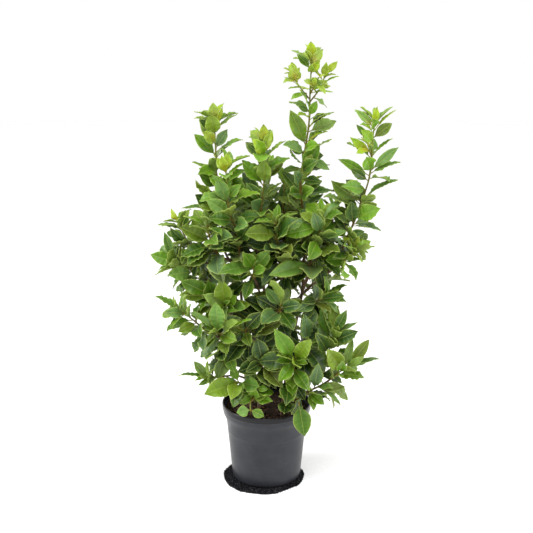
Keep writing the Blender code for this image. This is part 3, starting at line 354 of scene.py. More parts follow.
# Studio and camera
CAMERA_PLACE = (0.0, -1.99, 1.026)
CAMERA_TILT = 15.6
CAMERA_LENS = 67.54
PHOTO_MIDDLE = 266.5
PHOTO_LENS = 1000
WORLD_LIGHT = 1.0
FLOOR_REACH = 6
FLOOR_DROP = 0.0002
SOFTBOXES = (("softbox_left", (-2.0, -0.35, 0.95), (0, 0, 0.35), (0.7, 1.7), 34),
             ("softbox_right", (2.0, -0.25, 0.95), (0, 0, 0.35), (0.5, 1.7), 26),
             ("softbox_top", (-0.3, -1.0, 2.4), (0, 0, 0.4), (1.6, 1.2), 34))


def metres(*lengths):
    """Lengths in millimetres as metres."""
    return [length / 1000 for length in lengths]


def in_photo(across, down, depth):
    """The point at a depth that the photograph shows at a place in it, counted in its pixels."""
    right = (across - PHOTO_MIDDLE) / PHOTO_LENS
    up = (PHOTO_MIDDLE - down) / PHOTO_LENS
    lean = math.radians(CAMERA_TILT)
    far = (depth - CAMERA_PLACE[1]) / (math.cos(lean) + up * math.sin(lean))
    return Vector((right * far, depth, CAMERA_PLACE[2] + far * (up * math.cos(lean) - math.sin(lean))))


# The ways a leaf's upper face can look
VIEWER = Vector((0.0, -1.0, 0.45))
SKY = Vector((0.0, -0.25, 1.0))
LEFT = Vector((-0.8, -0.6, 0.5))
RIGHT = Vector((0.8, -0.6, 0.5))
RISING = Vector((0.0, -0.8, 0.75))
GUIDE = Vector((0.0, -1.0, 0.2))

# Leaves of the solids that the photograph shows turned: shoot and number, then the tip's place in the
# photograph, and in millimetres its depth and the leaf's width; then its face and age
TURNED_LEAVES = {
    ("centre_front", 0): (218.5, 273, -100, 31, RISING, 0.62),
    ("low_left_rim", 0): (204, 394.5, -112, 38, VIEWER, 0.60),
    ("low_left_rim", 1): (231.5, 399.5, -122, 28, VIEWER, 0.60),
    ("low_right_out", 4): (327, 350, -108, 34, VIEWER, 0.58),
    ("tall", 3): (290, 110, -22, 30, VIEWER, 0.40),
}

# Leaves of the solids that hang from fine twigs of the same shoot here
HUNG_LEAVES = (("low_front", 0), ("low_front", 1), ("rim_front", 0))

# More leaves that stand out in the photograph: the tip's place in it, and in millimetres the tip's depth
# and the leaf's length and width; then its face and age
SEEN_LEAVES = {
    "right_front": [(268.7, 275.5, -100, 78, 33, VIEWER, 0.55), (313, 212, -80, 60, 24, VIEWER, 0.2),
        (289, 231, -90, 50, 28, VIEWER, 0.65), (347, 231.5, -60, 62, 20, RISING, 0.75)],
    "right": [(366, 157, -45, 44, 30, VIEWER, 0.7), (362, 130, -40, 42, 22, VIEWER, 0.8),
        (372, 119, -40, 30, 22, VIEWER, 0.45), (350, 169, -25, 46, 18, VIEWER, 0.15),
        (342, 186, -45, 50, 28, VIEWER, 0.55), (338, 191, 0, 50, 24, VIEWER, 0.1),
        (346, 197, -10, 45, 22, VIEWER, 0.15), (351, 201, -25, 52, 28, VIEWER, 0.2),
        (335, 207, 0, 62, 28, VIEWER, 0.1), (358, 183, 0, 46, 24, VIEWER, 0.15),
        (362, 230, -30, 36, 14, RISING, 0.5)],
    "tall": [(319, 145, -35, 46, 24, VIEWER, 0.6), (323.5, 155.5, -20, 44, 22, VIEWER, 0.2),
        (291, 149, -20, 36, 14, VIEWER, 0.65), (323, 165, -45, 52, 18, VIEWER, 0.65),
        (294, 172.5, -35, 48, 24, VIEWER, 0.2), (322, 182, -20, 40, 18, VIEWER, 0.2),
        (282, 171, -10, 42, 14, RISING, 0.3), (289, 194, -60, 66, 28, VIEWER, 0.35),
        (313, 189, -70, 78, 28, VIEWER, 0.4), (317, 101, -10, 34, 15, VIEWER, 0.55),
        (298, 106, -10, 28, 13, VIEWER, 0.15), (323, 49, 0, 36, 13, RIGHT, 1),
        (303, 52, 0, 28, 10, LEFT, 1), (320, 61, -12, 30, 16, VIEWER, 0.85),
        (311, 64, -14, 26, 13, VIEWER, 0.75), (333, 92, 0, 30, 7, SKY, 0.7),
        (288, 88.5, 0, 34, 9, SKY, 0.7)],
    "tall_twig_left": [(291, 63, -12, 38, 18, VIEWER, 1), (299.5, 71, -14, 24, 10, RIGHT, 0.95),
        (284, 76.5, -8, 34, 7, SKY, 0.7)],
    "tall_twig_right": [(326.5, 62, -4, 36, 15, VIEWER, 1), (337, 62, 8, 40, 11, LEFT, 0.95),
        (339, 76, 4, 38, 8, SKY, 0.7)],
    "tall_twig_front": [(315.5, 77, -34, 30, 10, VIEWER, 1), (309, 83.5, -40, 28, 13, VIEWER, 0.95),
        (326, 84, -36, 28, 14, VIEWER, 0.95), (301.5, 69.5, -30, 40, 13, VIEWER, 1)],
    "centre": [(254, 139, -35, 48, 24, VIEWER, 0.85), (270.5, 131.5, -24, 44, 18, VIEWER, 0.95),
        (264, 157, -50, 40, 33, VIEWER, 0.65), (270, 176, -50, 36, 26, VIEWER, 0.65),
        (246, 183, -30, 56, 22, VIEWER, 0.25), (251, 202, -60, 60, 30, VIEWER, 0.35),
        (247, 143.5, -10, 44, 16, LEFT, 0.15)],
    "left": [(198, 174, -30, 50, 25, VIEWER, 0.6), (199, 120, -15, 46, 16, VIEWER, 0.15),
        (206, 132, -20, 36, 14, VIEWER, 0.75)],
    "left_front": [(226, 178, -75, 36, 26, VIEWER, 0.7), (241, 184, -50, 46, 20, VIEWER, 0.5),
        (208, 194, -60, 50, 23, VIEWER, 0.55), (198, 223, -75, 78, 27, VIEWER, 0.3),
        (248, 225, -85, 52, 30, VIEWER, 0.6), (221.5, 155.5, -45, 40, 17, VIEWER, 1),
        (230.5, 151.5, -35, 44, 18, VIEWER, 0.8)],
    "right_low": [(319.5, 262.5, -90, 72, 32, VIEWER, 0.75), (325, 232, -70, 72, 32, VIEWER, 0.15),
        (374, 247, -30, 38, 8, SKY, 0.8), (366, 259.5, -30, 42, 10, SKY, 0.4)],
    "right_middle": [(320, 265.5, -65, 64, 25, VIEWER, 0.05), (342, 292.5, -50, 52, 22, VIEWER, 0.5),
        (309, 329, -50, 52, 28, VIEWER, 0.05), (301.5, 303, -62, 52, 20, RISING, 0.15)],
    "centre_low_front": [(256, 297, -55, 56, 28, VIEWER, 0), (262, 344, -75, 56, 28, VIEWER, 0),
        (290, 328, -80, 44, 24, VIEWER, 0.45), (292, 303, -72, 30, 16, VIEWER, 0.85)],
    "centre_inner": [(262, 312, -80, 56, 28, VIEWER, 0.05), (231, 345, -80, 50, 26, VIEWER, 0.1),
        (236, 362, -75, 62, 28, VIEWER, 0)],
    "front_lower": [(257, 338, -92, 66, 32, VIEWER, 0.1), (237, 372, -75, 54, 30, VIEWER, 0.05),
        (241, 363, -55, 52, 30, VIEWER, 0), (264, 391, -88, 42, 22, VIEWER, 0.05),
        (276, 389, -85, 48, 24, VIEWER, 0), (246, 372, -80, 40, 22, VIEWER, 0)],
    "low_left_rim": [(234, 401, -96, 40, 24, VIEWER, 0.1)],
    "low_front": [(240, 404, -100, 30, 14, VIEWER, 0.6)],
    "low_front_up": [(247, 404.5, -116, 36, 31, VIEWER, 0.64), (257.5, 411, -110, 44, 20, VIEWER, 0.25),
        (268, 389, -95, 26, 14, RISING, 0.6)],
    "low_front_drop": [(236.5, 412.5, -122, 28, 22, VIEWER, 0.66),
        (264, 416.5, -120, 27, 18, VIEWER, 0.45)],
    "rim_front_drop": [(304.5, 436.5, -128, 66, 35, VIEWER, 0.28)],
    "low_left_hanging": [(222, 366, -95, 44, 30, VIEWER, 0.15)],
    "low_right": [(284.5, 413.5, -112, 66, 33, VIEWER, 0.2), (258.5, 361.5, -100, 64, 36, VIEWER, 0.05),
        (292.5, 396.5, -112, 42, 23, VIEWER, 0.5), (305, 400, -88, 60, 27, VIEWER, 0),
        (309, 390.5, -122, 54, 27, VIEWER, 0.4)],
    "low_right_up": [(316.5, 333.5, -75, 64, 27, VIEWER, 0.08), (311.5, 382, -85, 42, 26, VIEWER, 0.2)],
}


# The plant's plan, in millimetres: every axis is a stem that is woody at first and leafy beyond

def side(name, parent, springs, woody, leaves, length, age, through, aimed=()):
    """A shoot that springs from its parent at a height; woody 0 makes it a twig of its parent's shoot.

    It has a number of leaves of a length and age in its spiral, a route through points, and aimed
    leaves, each with the place of its tip, its length and width, its face and its age.
    """
    return dict(name=name, parent=parent, springs=springs, woody=woody, leaves=leaves, length=length / 1000,
                age=age, through=through, aimed=aimed)


def stem(name, foot, *rest):
    """A woody stem that stands in the compost at its foot."""
    return side(name, None, foot, *rest)


PLAN = [
    # The tall stem right of the middle, and its neighbour that leans out to the right
    stem("tall", (35, 5), 0.42, 10, 60, 0.45, [(45, 3, 250), (62, 0, 350), (74, 0, 415), (76, 0, 463),
         (79, 0, 516), (77, 0, 565), (69, 0, 633), (71, 0, 670), (80, 0, 732), (85, 0, 775), (86, 0, 837),
         (89, 0, 895)],
         [(86, -4, 925, 40, 19, VIEWER, 1), (59, 0, 901, 40, 14, VIEWER, 0.3),
         (111, -4, 911, 36, 15, VIEWER, 0.9), (47, -22, 794, 82, 26, LEFT, 0.35),
         (134, 0, 788, 60, 15, SKY, 0.4), (116, -12, 787, 38, 12, SKY, 0.8),
         (122, 0, 750, 46, 14, SKY, 0.8), (106, -22, 726, 64, 28, VIEWER, 0.5),
         (112, -34, 700, 62, 26, VIEWER, 0.2), (47, -22, 718, 48, 18, LEFT, 0.6),
         (128, 10, 682, 64, 19, SKY, 0.4), (31, 0, 670, 58, 22, VIEWER, 0.2),
         (112, 0, 650, 46, 20, VIEWER, 0.3), (42, -35, 630, 60, 26, LEFT, 0.5),
         (41, -30, 592, 58, 28, VIEWER, 0.1), (43, -52, 560, 70, 26, VIEWER, 0.6),
         (52, -56, 530, 74, 28, VIEWER, 0.4)]),
    side("tall_twig_left", "tall", 812, 0, 5, 34, 1, [(62, -6, 842), (50, -10, 866)],
         [(49, -12, 886, 26, 16, VIEWER, 1)]),
    side("tall_twig_right", "tall", 808, 0, 6, 34, 1, [(106, 4, 835), (116, 8, 862)],
         [(140, 8, 886, 36, 13, VIEWER, 1)]),
    side("tall_twig_front", "tall", 825, 0, 4, 28, 1, [(94, -16, 842), (99, -28, 856)]),
    side("right", "tall", 410, 0.24, 6, 60, 0.5, [(94, -10, 433), (120, -20, 458), (142, -20, 486),
         (161, -20, 532), (176, -20, 567), (189, -20, 606), (204, -20, 655), (209, -20, 702),
         (210, -20, 741), (214, -20, 775)],
         [(216, -22, 800, 36, 14, VIEWER, 1), (173, -20, 796, 50, 14, VIEWER, 0.8),
         (254, -20, 795, 54, 10, SKY, 0.9), (247, -20, 769, 48, 20, VIEWER, 0.2),
         (178, -10, 765, 44, 13, LEFT, 0.3), (252, 0, 736, 56, 10, SKY, 0.7),
         (165, -20, 741, 54, 16, LEFT, 0.9), (142, -20, 698, 72, 18, VIEWER, 0.5),
         (262, -20, 722, 74, 18, VIEWER, 0.5), (128, -30, 656, 78, 30, LEFT, 0.2),
         (156, -42, 660, 60, 26, VIEWER, 0.1), (260, -40, 660, 84, 20, SKY, 0.4),
         (226, -50, 604, 62, 34, VIEWER, 0.8), (140, -45, 652, 76, 30, SKY, 0.6),
         (197, -40, 555, 40, 15, VIEWER, 0.3)]),
    side("right_twig", "right", 700, 0, 4, 34, 1, [(202, -26, 720), (196, -30, 735)]),
    side("right_low", "right", 462, 0.35, 5, 46, 0.8, [(148, -24, 478), (166, -30, 500), (178, -30, 520)],
         [(221, -20, 519, 58, 14, SKY, 0.9), (202, -30, 494, 48, 12, SKY, 0.7),
         (118, -60, 500, 60, 26, VIEWER, 0.6)]),
    side("right_inner", "tall", 420, 0.4, 7, 56, 0.35, [(110, 20, 490), (132, 28, 540), (138, 30, 585)],
         [(176, 20, 583, 60, 20, VIEWER, 0.5), (94, 6, 584, 56, 26, VIEWER, 0.5)]),
    side("right_front", "tall", 398, 0.35, 8, 68, 0.4, [(96, -30, 515), (106, -48, 550), (110, -55, 590)]),
    side("right_inner_low", "tall", 280, 0.4, 6, 72, 0.05, [(72, -36, 305), (86, -58, 330)]),
    side("right_middle", "tall", 385, 0.42, 5, 60, 0.3, [(96, -24, 400), (122, -36, 418)],
         [(166, -30, 440, 60, 18, SKY, 0.3), (158, -62, 426, 62, 20, VIEWER, 0.3),
         (130, -66, 404, 62, 20, SKY, 0.1)]),
    # The middle stem and the straight shoot left of it
    stem("middle", (-16, 0), 0.62, 8, 76, 0.25, [(-14, 0, 250), (-9, 0, 310), (22, 0, 372), (34, 6, 430),
         (36, 16, 500), (34, 20, 580), (36, 22, 640)]),
    side("centre", "middle", 372, 0.3, 9, 62, 0.55, [(3, -3, 391), (-10, -6, 406), (-20, -10, 436),
         (-26, -10, 461), (-21, -10, 508), (-15, -10, 550), (-9, -10, 613), (-3, -10, 672), (-5, -10, 735)],
         [(-6, -14, 766, 40, 18, VIEWER, 1), (8, -20, 752, 46, 17, VIEWER, 1),
         (-32, -14, 750, 44, 16, LEFT, 0.9), (38, -10, 733, 56, 12, SKY, 0.8),
         (-44, -10, 728, 50, 20, LEFT, 0.3), (36, 0, 692, 58, 18, VIEWER, 0.2),
         (-50, 0, 668, 60, 24, LEFT, 0.2), (-4, -35, 700, 58, 28, VIEWER, 0.6),
         (30, -30, 652, 70, 20, SKY, 0.2)]),
    side("centre_front", "centre", 436, 0.3, 3, 50, 0.8, [(-26, -36, 460), (-26, -52, 486)],
         [(-94, -92, 478, 72, 30, SKY, 0.7), (-55, -80, 530, 60, 26, VIEWER, 0.6),
         (8, -75, 525, 58, 26, VIEWER, 0.7), (0, -98, 494, 46, 20, VIEWER, 1)]),
    side("centre_low_front", "middle", 345, 0.4, 6, 66, 0.3, [(20, -35, 372), (30, -60, 405)],
         [(8, -100, 470, 78, 30, SKY, 0.7), (70, -100, 420, 66, 26, VIEWER, 0.2)]),
    side("centre_inner", "middle", 300, 0.4, 6, 74, 0.05, [(-30, -40, 330), (-45, -70, 355)]),
    side("front_upper", "middle", 418, 0.35, 8, 70, 0.35, [(28, -25, 490), (22, -45, 530), (20, -55, 580)]),
    side("front_lower", "middle", 240, 0.4, 6, 74, 0, [(-10, -40, 262), (-8, -70, 290)]),
    # The left stem with its two upright shoots and the ones that lean out to the left
    stem("left", (-40, 12), 0.58, 5, 62, 0.5, [(-46, 12, 250), (-48, 10, 330), (-52, 10, 395),
         (-63, 10, 460), (-82, 10, 490), (-91, 10, 524), (-91, 10, 598), (-101, 10, 664), (-102, 10, 699),
         (-104, 10, 775)],
         [(-106, 6, 806, 40, 20, VIEWER, 1), (-87, 6, 800, 38, 12, RIGHT, 1),
         (-112, -12, 786, 52, 30, VIEWER, 0.7), (-139, 8, 775, 58, 20, LEFT, 0.2),
         (-59, 10, 783, 56, 13, SKY, 0.2), (-77, 0, 754, 48, 20, VIEWER, 0.1),
         (-144, 0, 744, 62, 24, VIEWER, 0.5), (-57, 20, 732, 60, 12, SKY, 0.1),
         (-126, -20, 752, 48, 22, VIEWER, 0.9), (-150, 0, 688, 60, 14, SKY, 0.5),
         (-136, -22, 668, 58, 30, VIEWER, 0.5), (-142, -20, 655, 72, 26, LEFT, 0.4),
         (-145, 0, 621, 70, 34, VIEWER, 0.3), (-149, -12, 600, 66, 20, SKY, 0.7),
         (-155, 0, 569, 70, 22, VIEWER, 0.2), (-176, 30, 587, 88, 14, SKY, 0.3)]),
    side("left_front", "left", 420, 0.3, 7, 62, 0.55, [(-50, -16, 455), (-54, -30, 500), (-57, -35, 542),
         (-71, -35, 585), (-77, -35, 614), (-80, -35, 672), (-78, -35, 692)],
         [(-76, -38, 712, 34, 18, VIEWER, 1), (-96, -38, 703, 36, 16, VIEWER, 1),
         (-43, -30, 692, 48, 14, SKY, 0.8), (-138, -62, 572, 88, 28, SKY, 0.6),
         (-35, -58, 572, 50, 30, VIEWER, 0.4), (-106, -55, 588, 50, 16, SKY, 0.8),
         (-118, -55, 622, 62, 28, VIEWER, 0.6), (-94, -62, 660, 58, 26, VIEWER, 0.6),
         (-96, -75, 520, 62, 28, SKY, 0.6)]),
    side("left_out", "left", 445, 0.4, 5, 56, 0.35, [(-95, 4, 462), (-127, 0, 480), (-157, 0, 516),
         (-173, 0, 548), (-176, 0, 565)],
         [(-194, 0, 592, 36, 16, LEFT, 1), (-160, 0, 581, 34, 12, RIGHT, 0.6),
         (-196, -10, 556, 58, 24, LEFT, 0.1)]),
    side("left_low_out", "left", 385, 0.4, 5, 60, 0.4, [(-90, -6, 420), (-127, -8, 447), (-157, -10, 466),
         (-190, -10, 484)],
         [(-238, -10, 499, 62, 26, VIEWER, 0.6), (-235, -10, 468, 62, 18, SKY, 0.8),
         (-222, 0, 520, 58, 26, VIEWER, 0.4), (-210, 20, 538, 64, 18, VIEWER, 0.3),
         (-200, -35, 462, 56, 30, VIEWER, 0.6), (-170, -35, 520, 66, 26, VIEWER, 0.3)]),
    side("left_upper_front", "left", 480, 0.35, 7, 68, 0.35, [(-96, -20, 500), (-112, -40, 535),
         (-118, -46, 570)]),
    side("left_below", "left", 340, 0.42, 5, 62, 0.3, [(-75, -16, 375), (-105, -28, 405), (-120, -32, 425)],
         [(-174, -40, 451, 66, 30, VIEWER, 0.4), (-118, -60, 460, 62, 26, VIEWER, 0.5),
         (-180, -30, 418, 66, 24, VIEWER, 0.4)]),
    side("left_bright", "left", 365, 0.38, 3, 52, 0.7, [(-70, -34, 392), (-86, -55, 402)],
         [(-90, -75, 468, 68, 34, VIEWER, 0.6), (-60, -70, 430, 42, 20, VIEWER, 1),
         (-118, -80, 432, 46, 28, VIEWER, 0.9)]),
    # The low stem at the front left, with the long bare branch that reaches out
    stem("low_left", (-30, -35), 0.74, 3, 56, 0.4, [(-37, -36, 200), (-38, -37, 251), (-43, -42, 275),
         (-57, -50, 301), (-83, -60, 329), (-103, -68, 343), (-127, -72, 360), (-161, -80, 392),
         (-178, -82, 402)],
         [(-222, -85, 432, 64, 22, SKY, 0.5), (-200, -125, 412, 56, 22, VIEWER, 0.4),
         (-210, -60, 388, 56, 14, SKY, 0.6), (-176, -110, 366, 50, 20, VIEWER, 0.5)]),
    side("low_left_upper", "low_left", 322, 0.4, 4, 56, 0.6, [(-90, -78, 345), (-102, -88, 362)],
         [(-153, -90, 400, 66, 20, SKY, 0.5), (-100, -100, 425, 60, 30, VIEWER, 0.9),
         (-30, -105, 392, 74, 18, SKY, 0.7)]),
    side("low_left_hanging", "low_left", 312, 0.4, 2, 60, 0.2, [(-80, -72, 312), (-94, -80, 318)],
         [(-100, -98, 262, 66, 32, VIEWER, 0.2), (-64, -92, 270, 62, 22, VIEWER, 0.4)]),
    side("low_left_twig", "low_left", 235, 0.5, 3, 34, 0.5, [(-62, -58, 252), (-92, -72, 256),
         (-122, -84, 258)],
         [(-147, -90, 296, 42, 17, VIEWER, 0.4), (-180, -90, 266, 50, 12, SKY, 0.4),
         (-110, -80, 302, 42, 12, RIGHT, 0.4), (-140, -92, 244, 26, 10, VIEWER, 0.4)]),
    side("low_left_rim", "low_left", 222, 0.4, 3, 46, 0.6, [(-50, -66, 238), (-62, -84, 250)],
         [(-128, -112, 232, 78, 36, SKY, 0.7), (-74, -122, 214, 52, 26, VIEWER, 0.7),
         (-14, -98, 245, 46, 30, VIEWER, 0.8)]),
    side("low_front", "low_left", 185, 0.4, 2, 40, 0.7, [(-26, -55, 198), (-28, -78, 215)],
         [(-48, -118, 190, 36, 24, SKY, 0.8), (-16, -116, 188, 36, 20, SKY, 0.6),
         (-22, -100, 238, 34, 24, VIEWER, 0.9), (12, -95, 212, 34, 20, VIEWER, 0.9)]),
    # The low stem at the front right
    stem("low_right", (32, -35), 0.66, 2, 50, 0.9, [(36, -42, 200), (46, -56, 240), (56, -75, 275),
         (56, -92, 302)],
         [(15, -128, 378, 64, 32, VIEWER, 0.9), (88, -126, 356, 60, 28, VIEWER, 0.9),
         (20, -136, 326, 44, 18, SKY, 1), (24, -140, 272, 60, 24, VIEWER, 0.8),
         (40, -145, 300, 52, 26, VIEWER, 0.8)]),
    side("low_right_up", "low_right", 215, 0.4, 4, 58, 0.4, [(80, -46, 232), (108, -44, 256),
         (125, -48, 290), (134, -50, 325), (138, -50, 345)],
         [(164, -50, 393, 60, 20, VIEWER, 0.4), (187, -50, 366, 62, 16, SKY, 0.3),
         (111, -50, 398, 70, 22, LEFT, 0.3), (140, -40, 404, 62, 24, VIEWER, 0.5),
         (186, -75, 355, 62, 26, VIEWER, 0.2), (103, -70, 352, 60, 20, LEFT, 0.8)]),
    side("low_right_out", "low_right", 205, 0.48, 3, 52, 0.5, [(82, -56, 216), (120, -60, 236),
         (150, -68, 264), (172, -70, 282)],
         [(209, -70, 336, 56, 22, VIEWER, 0.3), (234, -70, 294, 62, 15, SKY, 0.4),
         (204, -80, 306, 40, 14, VIEWER, 0.9), (174, -75, 336, 60, 16, VIEWER, 0.5),
         (120, -108, 318, 62, 30, SKY, 0.8), (150, -105, 318, 58, 20, VIEWER, 0.5)]),
    side("low_right_hanging", "low_right", 190, 0.45, 3, 50, 0.3, [(68, -62, 206), (94, -70, 226),
         (106, -75, 236)],
         [(118, -96, 204, 44, 20, VIEWER, 0.6), (152, -85, 198, 54, 13, SKY, 0.3),
         (162, -75, 234, 54, 20, VIEWER, 0.2), (104, -115, 300, 70, 26, VIEWER, 0.1)]),
    side("rim_front", "low_right", 182, 0.4, 1, 40, 0.4, [(40, -62, 196), (52, -78, 214)],
         [(88, -128, 150, 74, 38, VIEWER, 0.6), (36, -98, 184, 54, 28, VIEWER, 0.2),
         (58, -108, 232, 40, 20, VIEWER, 0.6)]),
    # The back of the bush
    stem("back", (4, 40), 0.62, 8, 72, 0.4, [(0, 50, 250), (-6, 62, 350), (-4, 70, 440), (0, 74, 520),
         (4, 76, 600), (6, 76, 660)]),
    side("back_right_high", "back", 430, 0.35, 8, 70, 0.45, [(40, 82, 470), (62, 90, 530), (68, 92, 620)]),
    side("back_left_high", "back", 400, 0.35, 8, 70, 0.45, [(-40, 80, 440), (-62, 90, 510),
         (-66, 94, 610)]),
    side("back_right", "back", 330, 0.4, 7, 74, 0.35, [(50, 85, 362), (100, 105, 400), (125, 112, 470)]),
    side("back_left", "back", 300, 0.4, 7, 74, 0.35, [(-50, 85, 340), (-105, 100, 385), (-130, 108, 450)]),
    side("back_middle", "back", 360, 0.4, 7, 74, 0.4, [(4, 105, 390), (8, 140, 440), (8, 155, 500)]),
    side("back_low_right", "back", 225, 0.42, 7, 74, 0.2, [(55, 75, 250), (100, 95, 290), (120, 100, 330)]),
    side("back_low_left", "back", 215, 0.42, 7, 74, 0.2, [(-50, 75, 240), (-95, 95, 275),
         (-115, 100, 315)]),
    side("back_low_middle", "back", 240, 0.42, 6, 74, 0.25, [(6, 95, 262), (10, 130, 300), (10, 140, 335)]),
]

# Fine twigs for the small leaves that hang in front, by their route in the photograph and its depth
FINE_TWIGS = [
    side("low_front_up", "low_front", 213, 0, 0, 30, 0.6, [(255, 392, -84), (256, 388, -88)]),
    side("low_front_drop", "low_front", 213, 0, 0, 26, 0.6, [(250.5, 403, -100), (250.6, 410.5, -112)]),
    side("rim_front_drop", "rim_front", 213, 0, 0, 40, 0.4, [(296, 398, -90), (299, 402.5, -100)]),
]


# Stems

def smooth_route(knots, samples):
    """Points of a Catmull-Rom curve through the given ones."""
    knots = [knots[0] * 2 - knots[1]] + knots + [knots[-1] * 2 - knots[-2]]
    spans = len(knots) - 3
    route = []
    for i in range(samples + 1):
        place = i / samples * spans
        k = min(int(place), spans - 1)
        t = place - k
        a, b, c, d = knots[k:k + 4]
        route.append(0.5 * (2 * b + (c - a) * t + (2 * a - 5 * b + 4 * c - d) * t * t
                            + (3 * b - a - 3 * c + d) * t ** 3))
    return route


def belts(rings, sides, first=0, inward=False):
    """Four-sided faces between rings of points that follow one another."""
    faces = []
    for i in range(rings):
        for k in range(sides):
            a = first + i * sides + k
            b = first + i * sides + (k + 1) % sides
            faces.append((a, a + sides, b + sides, b) if inward else (a, b, b + sides, a + sides))
    return faces


def tube(centres, headings, radii, sides):
    """A closed tube with flat ends that are square to its headings."""
    verts = []
    across = Vector((0.3, 1.0, 0.1))
    for centre, heading, radius in zip(centres, headings, radii):
        across = (across - heading * across.dot(heading)).normalized()
        up = heading.cross(across)
        for k in range(sides):
            angle = CIRCLE * k / sides
            verts.append(centre + (across * math.cos(angle) + up * math.sin(angle)) * radius)
    faces = belts(len(centres) - 1, sides)
    faces.append(tuple(reversed(range(sides))))
    faces.append(tuple(range(len(verts) - sides, len(verts))))
    return verts, faces


class Axis:
    """A stem of the plan with its full route, its woody share and its thickness."""

    def __init__(self, plan, parent, through):
        self.name = plan["name"]
        self.parent = parent
        self.plan = plan
        self.straight = 0.0
        if parent is None:
            self.foot_radius = STEM_RADIUS
            self.wood = self.name
            self.straight = STEM_DEPTH + STRAIGHT_ABOVE
            start = Vector((*metres(*plan["springs"]), SOIL_TOP + STRAIGHT_ABOVE))
        else:
            self.foot_radius = BRANCH_RADIUS
            self.wood = parent.wood
            start = min(parent.route, key=lambda p: abs(p.z - plan["springs"] / 1000))
        self.route = smooth_route([start] + through, ROUTE_SAMPLES * (len(through) + 1))
        if parent is None:
            self.route.insert(0, start - Vector((0, 0, self.straight)))
        self.lengths = [0.0]
        for a, b in zip(self.route, self.route[1:]):
            self.lengths.append(self.lengths[-1] + (b - a).length)
        self.total = self.lengths[-1]
        self.woody = plan["woody"] * self.total
        self.twig = plan["woody"] == 0
        self.host = parent.host if self.twig else self
        self.leafy = 0.0 if self.twig else self.woody + GAP
        self.first = self.leafy + FIRST_LEAF
        self.last = self.total - LAST_LEAF
        self.leaves = []
        self.roots = []

    def at(self, wanted):
        """The point and the direction at a distance along the stem."""
        wanted = min(max(wanted, 0.0), self.total)
        k = 0
        while k < len(self.lengths) - 2 and self.lengths[k + 1] < wanted:
            k += 1
        a, b = self.route[k:k + 2]
        t = (wanted - self.lengths[k]) / max(self.lengths[k + 1] - self.lengths[k], 1e-9)
        return a.lerp(b, t), (b - a).normalized()

    def radius(self, distance):
        thin = TWIG_TIP_RADIUS if self.twig else TIP_RADIUS
        start = TWIG_RADIUS if self.twig else self.foot_radius
        return start + (thin - start) * distance / self.total

    def tube(self, start, end, sides):
        bend = max(start, self.straight)
        rings = max(math.ceil((end - bend) / RING_SPACING), 2)
        places = [bend + (end - bend) * i / rings for i in range(rings + 1)]
        if start < bend:
            places.insert(0, start)
        centres, headings = zip(*[self.at(s) for s in places])
        return tube(centres, headings, [self.radius(s) for s in places], sides)

    def wood_tube(self):
        return self.tube(0.0, self.woody, WOOD_SIDES if self.parent is None else BRANCH_SIDES)

    def leafy_tube(self):
        return self.tube(self.leafy, self.total, SHOOT_SIDES)

    def free_place(self, wanted):
        """The place nearest to the wanted one that is clear of the leaves already on this stem."""
        wanted = min(max(wanted, self.first), self.last)
        for step in range(PLACE_STEPS):
            for place in (wanted - step * PLACE_STEP, wanted + step * PLACE_STEP):
                clear = all(abs(place - r) >= ROOT_SPACING for r in self.roots)
                if clear and self.first <= place <= self.last:
                    return place
        return wanted

    def root_place(self, tip, length):
        """Where a leaf of this length springs from to reach its tip, rather not backwards."""
        def miss(place):
            point, heading = self.at(place)
            back = (tip - point).normalized().dot(heading) < BACKWARD
            return abs((tip - point).length - length) + (BACKWARD_COST if back else 0)
        places = [self.first + (self.last - self.first) * i / AIM_STEPS for i in range(AIM_STEPS + 1)]
        return min(places, key=miss)

    def bear(self, leaf, place=None):
        """Notes a leaf, if there was room for one, and where on the stem it springs from."""
        if leaf:
            self.leaves.append(leaf)
            if place is not None:
                self.roots.append(place)


# Leaves

@dataclass
class Leaf:
    """One leaf: where it springs from, which way it runs and faces, and how its blade bends."""

    root: Vector
    along: Vector
    face: Vector
    length: float
    width: float
    droop: float
    fold: float
    wave: float
    phase: float
    twist: float
    age: float

    def __post_init__(self):
        self.along = self.along.normalized()
        self.face = (self.face - self.along * self.face.dot(self.along)).normalized()
        self.tone = None
        self.number = None

    def turned(self, axis, swing, tilt, scale):
        """A copy that is swung round the stem, tilted and shortened."""
        turn = Matrix.Rotation(swing, 3, axis)
        side = self.face.cross(self.along)
        tip = Matrix.Rotation(tilt, 3, turn @ side)
        return replace(self, along=tip @ (turn @ self.along), face=tip @ (turn @ self.face),
                       length=self.length * scale, width=self.width * scale)

    def frame(self, u):
        """The midrib's point, and the directions across and out of the upper face."""
        bend = self.droop * u
        reach = self.length * math.sin(bend) / self.droop
        fall = self.length * (1 - math.cos(bend)) / self.droop
        middle = self.root + self.along * reach - self.face * fall
        along = self.along * math.cos(bend) - self.face * math.sin(bend)
        face = self.along * math.sin(bend) + self.face * math.cos(bend)
        side = face.cross(along)
        turn = self.twist * u
        return middle, side * math.cos(turn) + face * math.sin(turn), \
            face * math.cos(turn) - side * math.sin(turn)

    def half_width(self, u):
        """An elliptic outline with a pointed tip and a narrow base."""
        return 0.5 * self.width * max(math.sin(math.pi * u ** WIDEST), 0.0) ** BLUNTNESS

    def point(self, u, v, wider=0.0, lift=0.0):
        middle, side, face = self.frame(u)
        half = self.half_width(u) + wider
        waves = math.sin(2 * math.pi * WAVES * u + self.phase + (OTHER_SIDE if v > 0 else 0.0))
        rise = abs(v) * half * math.sin(self.fold) + v * v * waves * self.wave * self.width
        return middle + side * (v * half * math.cos(self.fold)) + face * (rise + lift)


